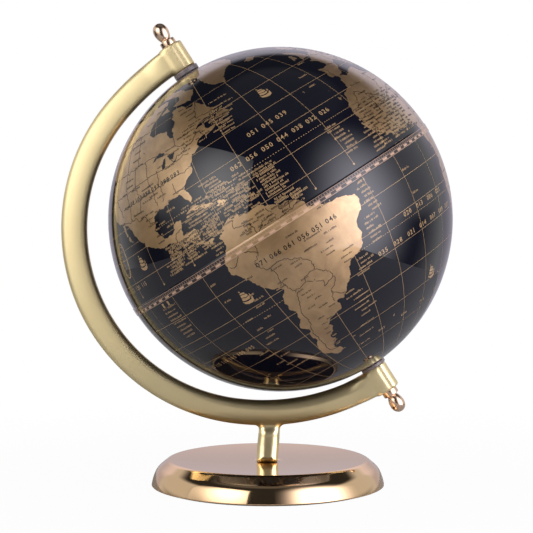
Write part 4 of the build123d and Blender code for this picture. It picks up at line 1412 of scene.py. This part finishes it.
def number_mesh(text, size):
    """The built-in font's number as points in millimetres about its middle, and faces."""
    data = bpy.data.curves.new("number", "FONT")
    data.body = text
    data.size = size
    data.offset = DIGIT_WEIGHT * size
    data.align_x = "CENTER"
    data.align_y = "CENTER"
    data.resolution_u = 2
    data.space_character = DIGIT_SPACING
    holder = bpy.data.objects.new("number", data)
    scene.collection.objects.link(holder)
    bpy.context.view_layer.update()
    mesh = bpy.data.meshes.new_from_object(holder)
    outline = points_of(mesh)[:, :2]
    faces = [list(face.vertices) for face in mesh.polygons]
    bpy.data.objects.remove(holder)
    bpy.data.meshes.remove(mesh)
    return outline, faces


number_count = 0
for lat, first, last, step, size, target in NUMBER_ROWS:
    for lon in range(first, last + 1, step):
        outline, faces = number_mesh(f"{abs(lon):03d}", size)
        target.add(patch(lon, lat, outline), faces)
        number_count += 1
print("degree numbers", number_count)

# %% [markdown]
# ## Small print, ships and a title oval
#
# Old globes carry place names as dense small print. Here it is only rows of short bars of uneven height,
# which read as print from arm's length and say nothing. A bar is gold at sea and dark on land. Little
# sailing ships and an oval frame are the usual ornaments of such maps.

# %% Small print
GRID_STEP = 0.5
GRID_END = 89
BAR_WIDE = (0.20, 0.36)     # widths, heights and gaps are shares of the size
BAR_TALL = [0.72, 0.72, 1.0]
BAR_GAP = 0.24
WORD_GAP = 0.7
WORD_CHANCE = 0.12          # how often a word ends after a bar

coarse_lats = np.arange(-GRID_END, GRID_END + GRID_STEP, GRID_STEP)
coarse_lons = np.arange(FIRST_LON, -FIRST_LON, GRID_STEP)
land_grid = land_mask(coarse_lats, coarse_lons, coasts)


def is_land(lon, lat):
    """Whether a place is on land, by the coarse grid."""
    row = np.clip(np.round((lat + GRID_END) / GRID_STEP), 0, len(coarse_lats) - 1).astype(int)
    column = np.round((lon - FIRST_LON) / GRID_STEP).astype(int) % len(coarse_lons)
    return land_grid[row, column]


def small_print(lon, lat, marks, size):
    """A row of bars that starts at a place: each bar is one face, about as high as the size."""
    narrow = math.cos(math.radians(lat))
    place = 0.0
    for _ in range(marks):
        wide = size * rng.uniform(*BAR_WIDE)
        tall = size * rng.choice(BAR_TALL)
        target = dark_print if is_land(lon + place / MM_PER_DEGREE / narrow, lat) else gold_print
        target.shape(lon, lat, [(place, 0), (place + wide, 0), (place + wide, tall), (place, tall)])
        place += wide + size * (BAR_GAP if rng.random() > WORD_CHANCE else WORD_GAP)


PRINT_BLOCKS = [  # first and last longitude, first and last latitude, rows, bars in a row, size
    (-59.5, -58, 21.6, 10.6, 10, 17, 1.35), (-58, -56, 8.4, 5.2, 3, 16, 1.3),
    (-54, -50, 7.0, 4.6, 3, 12, 1.2), (-77, -73, 28, 22.5, 5, 14, 1.3), (-69, -65, 20.2, 13.4, 6, 12, 1.25),
    (-81, -79, 14.8, 9.0, 6, 11, 1.2), (-85, -79, 20.5, 16.6, 4, 12, 1.2),
    (-76, -70, 17.0, 11.6, 4, 10, 1.15), (-74, -70, 21.5, 19.6, 2, 10, 1.1),
    (-100.5, -96, 14.6, 5.0, 9, 16, 1.25), (-91, -88, 12.0, 5.5, 5, 12, 1.2),
    (-84, -81, 7.2, 2.4, 4, 9, 1.1), (-62, -57, 51, 40.5, 8, 15, 1.2), (-60, -55, 55, 52, 2, 16, 1.2),
    (-97, -90, 29, 21.5, 4, 9, 1.2), (-31, -28, 20.5, 8.5, 8, 12, 1.25),
    (-20, -17.5, 16.5, 3.0, 9, 13, 1.2), (-14, -8, 3.6, -1.2, 3, 15, 1.15),
    (-34.2, -32.5, -3.0, -13.5, 7, 10, 1.2), (-37.5, -36, -14.8, -23.5, 6, 11, 1.2),
    (-47, -44, -26.0, -31.0, 4, 12, 1.2), (-55, -50, -34.5, -46.0, 7, 13, 1.2),
    (-90, -78, -6.0, -10.5, 2, 7, 1.1), (-89, -79, -13.5, -31, 8, 8, 1.1),
    (-95, -86, -33.0, -50, 8, 12, 1.15), (-26, -12, 49, 38, 3, 10, 1.2), (-18, -8, -8, -17, 2, 10, 1.2),
    (-62, -52, -50, -58, 3, 12, 1.2), (-112, -100, 46, 30, 8, 13, 1.2), (-97, -82, 47.5, 31.0, 9, 12, 1.1),
    (-118, -110, 42, 32, 3, 9, 1.1), (-112, -90, 66, 49, 7, 14, 1.1), (-76, -66, 60, 47, 7, 11, 1.1),
    (-102, -97, 28, 18, 5, 11, 1.0), (-74, -60, 7.0, 2.4, 4, 12, 1.0), (-66, -46, -2.8, -5.4, 2, 14, 1.1),
    (-60, -48, -9.8, -13.0, 3, 15, 1.15), (-73, -60, -12.5, -21.0, 6, 11, 1.0),
    (-57, -46, -14.5, -24.0, 6, 12, 1.0), (-68, -60, -24, -39, 9, 9, 1.0), (-71, -66, -40, -51, 6, 5, 1.0),
    (-10, 20, 32, 8, 12, 16, 1.1), (-113.5, -113.0, -4.6, -17.5, 9, 17, 1.2),
]
for lon_a, lon_b, lat_a, lat_b, rows, marks, size in PRINT_BLOCKS:
    for lat in np.linspace(lat_a, lat_b, rows):
        small_print(rng.uniform(lon_a, lon_b), lat, max(3, int(marks * rng.uniform(0.8, 1.2))), size)
print("blocks of small print", len(PRINT_BLOCKS))

# %% Small print of crowded places and of coasts on the far side
CROWDED = [  # first and last longitude, first and last latitude, degrees between rows, share that is filled
    (-88, -62, 10.5, 25.5, 1.25, 0.62), (-98, -80, 5.5, 14.5, 1.2, 0.6), (-17, 8, 3.5, 24.0, 1.4, 0.6),
    (-78, -56, 43.0, 52.0, 1.5, 0.5), (-72, -50, 3.0, 8.4, 1.5, 0.5), (10, 30, 40.0, 60.0, 1.8, 0.4),
    (95, 125, -8.0, 14.0, 1.8, 0.35),
]
CROWDED_SIZE = 1.15
CROWDED_PITCH = 0.62        # millimetres that a bar takes up, with its gap
COAST_SIZE = 1.0
COAST_STRIDE = 14
FRONT_LONS = (-128, 12)
COAST_END = 78
PRINTED_COASTS = 46         # all the lands and some of the islets
for lon_a, lon_b, lat_a, lat_b, gap, share in CROWDED:
    for lat in np.arange(lat_a, lat_b, gap):
        lon = lon_a + rng.uniform(0, 4)
        while lon < lon_b:
            marks = int(rng.integers(5, 13))
            small_print(lon, lat, marks, CROWDED_SIZE)
            lon += marks * CROWDED_PITCH / MM_PER_DEGREE / math.cos(math.radians(lat)) / share
for ring in coasts[:PRINTED_COASTS]:
    for lon, lat in ring[::COAST_STRIDE]:
        hidden = lon > FRONT_LONS[1] or lon < FRONT_LONS[0]
        if hidden and abs(lat) < COAST_END:
            small_print(lon + rng.uniform(-4, 4), lat + rng.uniform(-2, 2), rng.integers(4, 9), COAST_SIZE)
print("printed points so far, gold and dark", gold_print.count, dark_print.count)

# %% Ships, oval frame and scale plate
SHIP = [  # hull, three sails, flag and bowsprit, in millimetres
    [(-4.6, -0.9), (-3.6, -2.5), (-1.0, -3.5), (2.6, -3.7), (4.6, -2.9), (5.2, -0.6),
     (4.2, -0.4), (3.2, -1.6), (0.0, -1.9), (-2.6, -1.5)],
    [(-3.9, -0.4), (-1.0, -1.1), (2.6, -1.0), (3.2, 0.5), (1.0, 0.2), (-3.2, 1.2)],
    [(-3.4, 1.6), (0.6, 0.7), (2.8, 1.0), (2.2, 2.3), (-2.7, 2.8)],
    [(-2.8, 3.2), (1.9, 2.7), (1.2, 3.7), (-2.2, 4.1)],
    [(-2.4, 4.5), (-0.9, 4.6), (-2.3, 5.6)],
    [(3.7, 0.0), (5.0, 0.2), (4.2, 2.0)],
]
SHIP_SCALE = np.array([0.70, 1.02])
SHIPS = [(-37.1, 46.2), (-110.5, 15.0), (-81.8, -15.8), (-150, -12), (75, -32), (155, 28), (-10, -48)]
OVAL_LON = -122.5
OVAL_LAT = 20.0
OVAL_WIDE = 5.0             # half its width and half its height, in millimetres
OVAL_TALL = 9.6
OVAL_ROWS = (23.5, 21.6, 19.8, 18.0, 16.4)
PLATE = [(-3.6, -1.3), (3.6, -1.3), (3.6, 1.3), (-3.6, 1.3)]

for lon, lat in SHIPS:
    for outline in SHIP:
        gold_print.shape(lon, lat, SHIP_SCALE * np.array(outline))
turn = np.linspace(0, 2 * math.pi, 49)
narrow = math.cos(math.radians(float(true_angle(OVAL_LAT))))
for reach, width in ((1.0, 0.8), (0.84, 0.3)):
    oval_lon = OVAL_LON + reach * OVAL_WIDE * np.cos(turn) / MM_PER_DEGREE / narrow
    oval_lat = OVAL_LAT + reach * OVAL_TALL * np.sin(turn) / MM_PER_DEGREE / SHARE_NORTH
    gold_print.line(oval_lon, oval_lat, width)
for lat in OVAL_ROWS:
    small_print(-124.2, lat, 6, 1.1)
gold_print.shape(-110.0, -2.9, PLATE)
print("ships", len(SHIPS), "rows in the oval", len(OVAL_ROWS))

# %% [markdown]
# ## The equator tape
#
# Where the two halves meet, a printed tape hides the joint and stands 0.3 millimetres proud. It repeats the
# inks of the map under it, so that it vanishes over land, and adds a scale: thin lines, a row of rungs, one
# to a degree, and a row of long blocks, each two degrees long with two degrees between them.

# %% Tape
TAPE_PERIODS = 90
TAPE_COLUMNS = 720
TAPE_BEVEL = 0.12 * MM
TAPE_SINK = 0.1 * MM        # how far its inner face lies within the ball's radius
FLAT_ROWS = 5

tape_low, tape_high, _, tape_r = on_axle("equator_tape")
flat = np.linspace(tape_low + TAPE_BEVEL, tape_high - TAPE_BEVEL, FLAT_ROWS)
tape_heights = np.concatenate([[tape_low, tape_low], flat, [tape_high, tape_high]])
bevel = [BALL_R - TAPE_SINK, tape_r - TAPE_BEVEL]
tape_radii = np.concatenate([bevel, np.full(FLAT_ROWS, tape_r), bevel[::-1]])
tape_lons = all_round(TAPE_COLUMNS)
tape_points = centre + tape_heights[:, None, None] * up + tape_radii[:, None, None] * level_way(tape_lons)
tape_faces = grid_faces(len(tape_heights), TAPE_COLUMNS, close_rows=True, close_columns=True)
tape_piece = new_piece("equator_scale", tape_points.reshape(-1, 3), tape_faces.tolist(), "globe")
stand_for("equator_tape")

# the print's coordinates: periods of the scale along the tape, and the share of its height across it
row, column = np.divmod(np.arange(len(tape_faces)), TAPE_COLUMNS)
left = column * TAPE_PERIODS / TAPE_COLUMNS
right = (column + 1) * TAPE_PERIODS / TAPE_COLUMNS
share = (tape_heights - tape_low) / (tape_high - tape_low)
low_share = share[row]
high_share = share[(row + 1) % len(share)]
corners = np.stack([left, low_share, right, low_share, right, high_share, left, high_share], -1)
tape_piece.data.uv_layers.new(name="scale").data.foreach_set("uv", corners.ravel())

tape_lats = np.interp(np.degrees(np.arctan2(tape_heights, tape_radii)), true_angle(coarse_lats), coarse_lats)
order = np.argsort(tape_lats)
field = np.zeros((len(tape_lats), TAPE_COLUMNS))
field[order] = land_field(tape_lats[order], tape_lons)
store_land(tape_piece, field)

# %% Tape print
RUNGS = 4                   # in one period
RUNG_SHARE = 0.34           # how much of its step a rung fills
BLOCK_SHARE = 0.5
tape = Look("equator_tape_print")
base_colour, tape_gold, tape_height = print_inks(tape)
scale_place = tape.node("ShaderNodeTexCoord").outputs["UV"]
u = tape.coordinate("X", scale_place)
v = tape.coordinate("Y", scale_place)


def band(low, high):
    """1 between two shares of the tape's height, and 0 outside them."""
    return (v > low) * (v < high)


blocks = band(0.16, 0.39) * (u.fract() < BLOCK_SHARE)
rungs = band(0.50, 0.72) * ((u * RUNGS).fract() < RUNG_SHARE)
edges = band(0.05, 0.12) + band(0.43, 0.48) + band(0.78, 0.83)
fill = band(0.13, 0.42) * 0.05 + band(0.46, 0.78) * 0.03
worn = tape.noise(420.0, 4.0).rise(0.28, 0.5)
printed = (blocks * 0.75 + rungs * 0.25 + edges * 0.6 + fill) * (0.75 + 0.25 * worn)
cream = tape.mix(tape.noise(200.0), colour(194, 156, 130), colour(212, 176, 150))
tape.set(Base_Color=tape.mix(printed, base_colour, cream), Metallic=tape_gold * GOLD_METAL * (1 - printed))
tape.set(Roughness=INK_ROUGH + 0.06 * tape.noise(300.0, 2.0))
gloss_coat(tape)
tape.bump(tape_height, 0.02 * MM)
tape.on(tape_piece)

# %% Printed pieces and their inks


def line_ink(title, grain, dark, light, metal, rough):
    """The ink of fine lines: two close tones by fine noise, under the clear coat."""
    look = Look(title)
    flake = look.noise(grain, 3.0)
    look.set(Base_Color=look.mix(flake, dark, light), Metallic=metal, Roughness=rough + 0.1 * flake)
    gloss_coat(look)
    return look


gold_lines = gold_print.piece("gold_print", "globe")
dark_lines = dark_print.piece("dark_print", "globe")
line_ink("gold_ink_line", 900.0, colour(150, 122, 88), colour(184, 152, 112), 0.25, 0.40).on(gold_lines)
line_ink("dark_ink_line", 700.0, colour(26, 22, 22), colour(44, 36, 30), 0.0, 0.45).on(dark_lines)

# %% [markdown]
# ## Parts that hardly show
#
# The felt, the ballast, the bolt and the inside of the ball keep their CAD shapes. Each still gets a
# finish of its own, because they show when the globe is turned over, cut open or taken apart.

# %% Finishes of the carried-over parts


def plain_look(name, dark, light, metal, rough, grain, depth):
    """A two-tone noisy finish: colours, metal share, roughness, patches per metre and bump depth."""
    look = Look(name)
    patches = look.noise(grain, 4.0)
    look.set(Base_Color=look.mix(patches, colour(*dark), colour(*light)), Metallic=metal)
    look.set(Roughness=rough + 0.15 * look.noise(grain * 3, 2.0))
    look.bump(look.noise(grain * 6, 3.0), depth)
    return look


FINISHES = [  # nodes, name, dark and light colour, metal, roughness, patches per metre, bump depth
    (["base_felt_pad"], "black_felt", (18, 18, 19), (34, 33, 34), 0.0, 0.9, 900.0, 0.15),
    (["base_weight"], "cast_iron", (36, 35, 36), (62, 60, 58), 0.7, 0.6, 250.0, 0.08),
    (["base_flat_washer", "base_spring_washer", "base_bolt", "axle_rod"], "zinc_plate", (148, 150, 152),
     (186, 188, 190), 1.0, 0.28, 300.0, 0.01),
    (["north_hemisphere", "south_hemisphere", "seam_ring"], "moulded_shell", (176, 172, 164),
     (200, 196, 188), 0.0, 0.5, 120.0, 0.02),
    (["upper_pole_bush", "lower_pole_bush", "centre_tube"], "moulded_bush", (196, 194, 186),
     (214, 212, 204), 0.0, 0.42, 160.0, 0.02),
]
for names, title, dark, light, metal, rough, grain, depth in FINISHES:
    finish = plain_look(title, dark, light, metal, rough, grain, depth * MM)
    finish.on(*(nodes[name] for name in names))
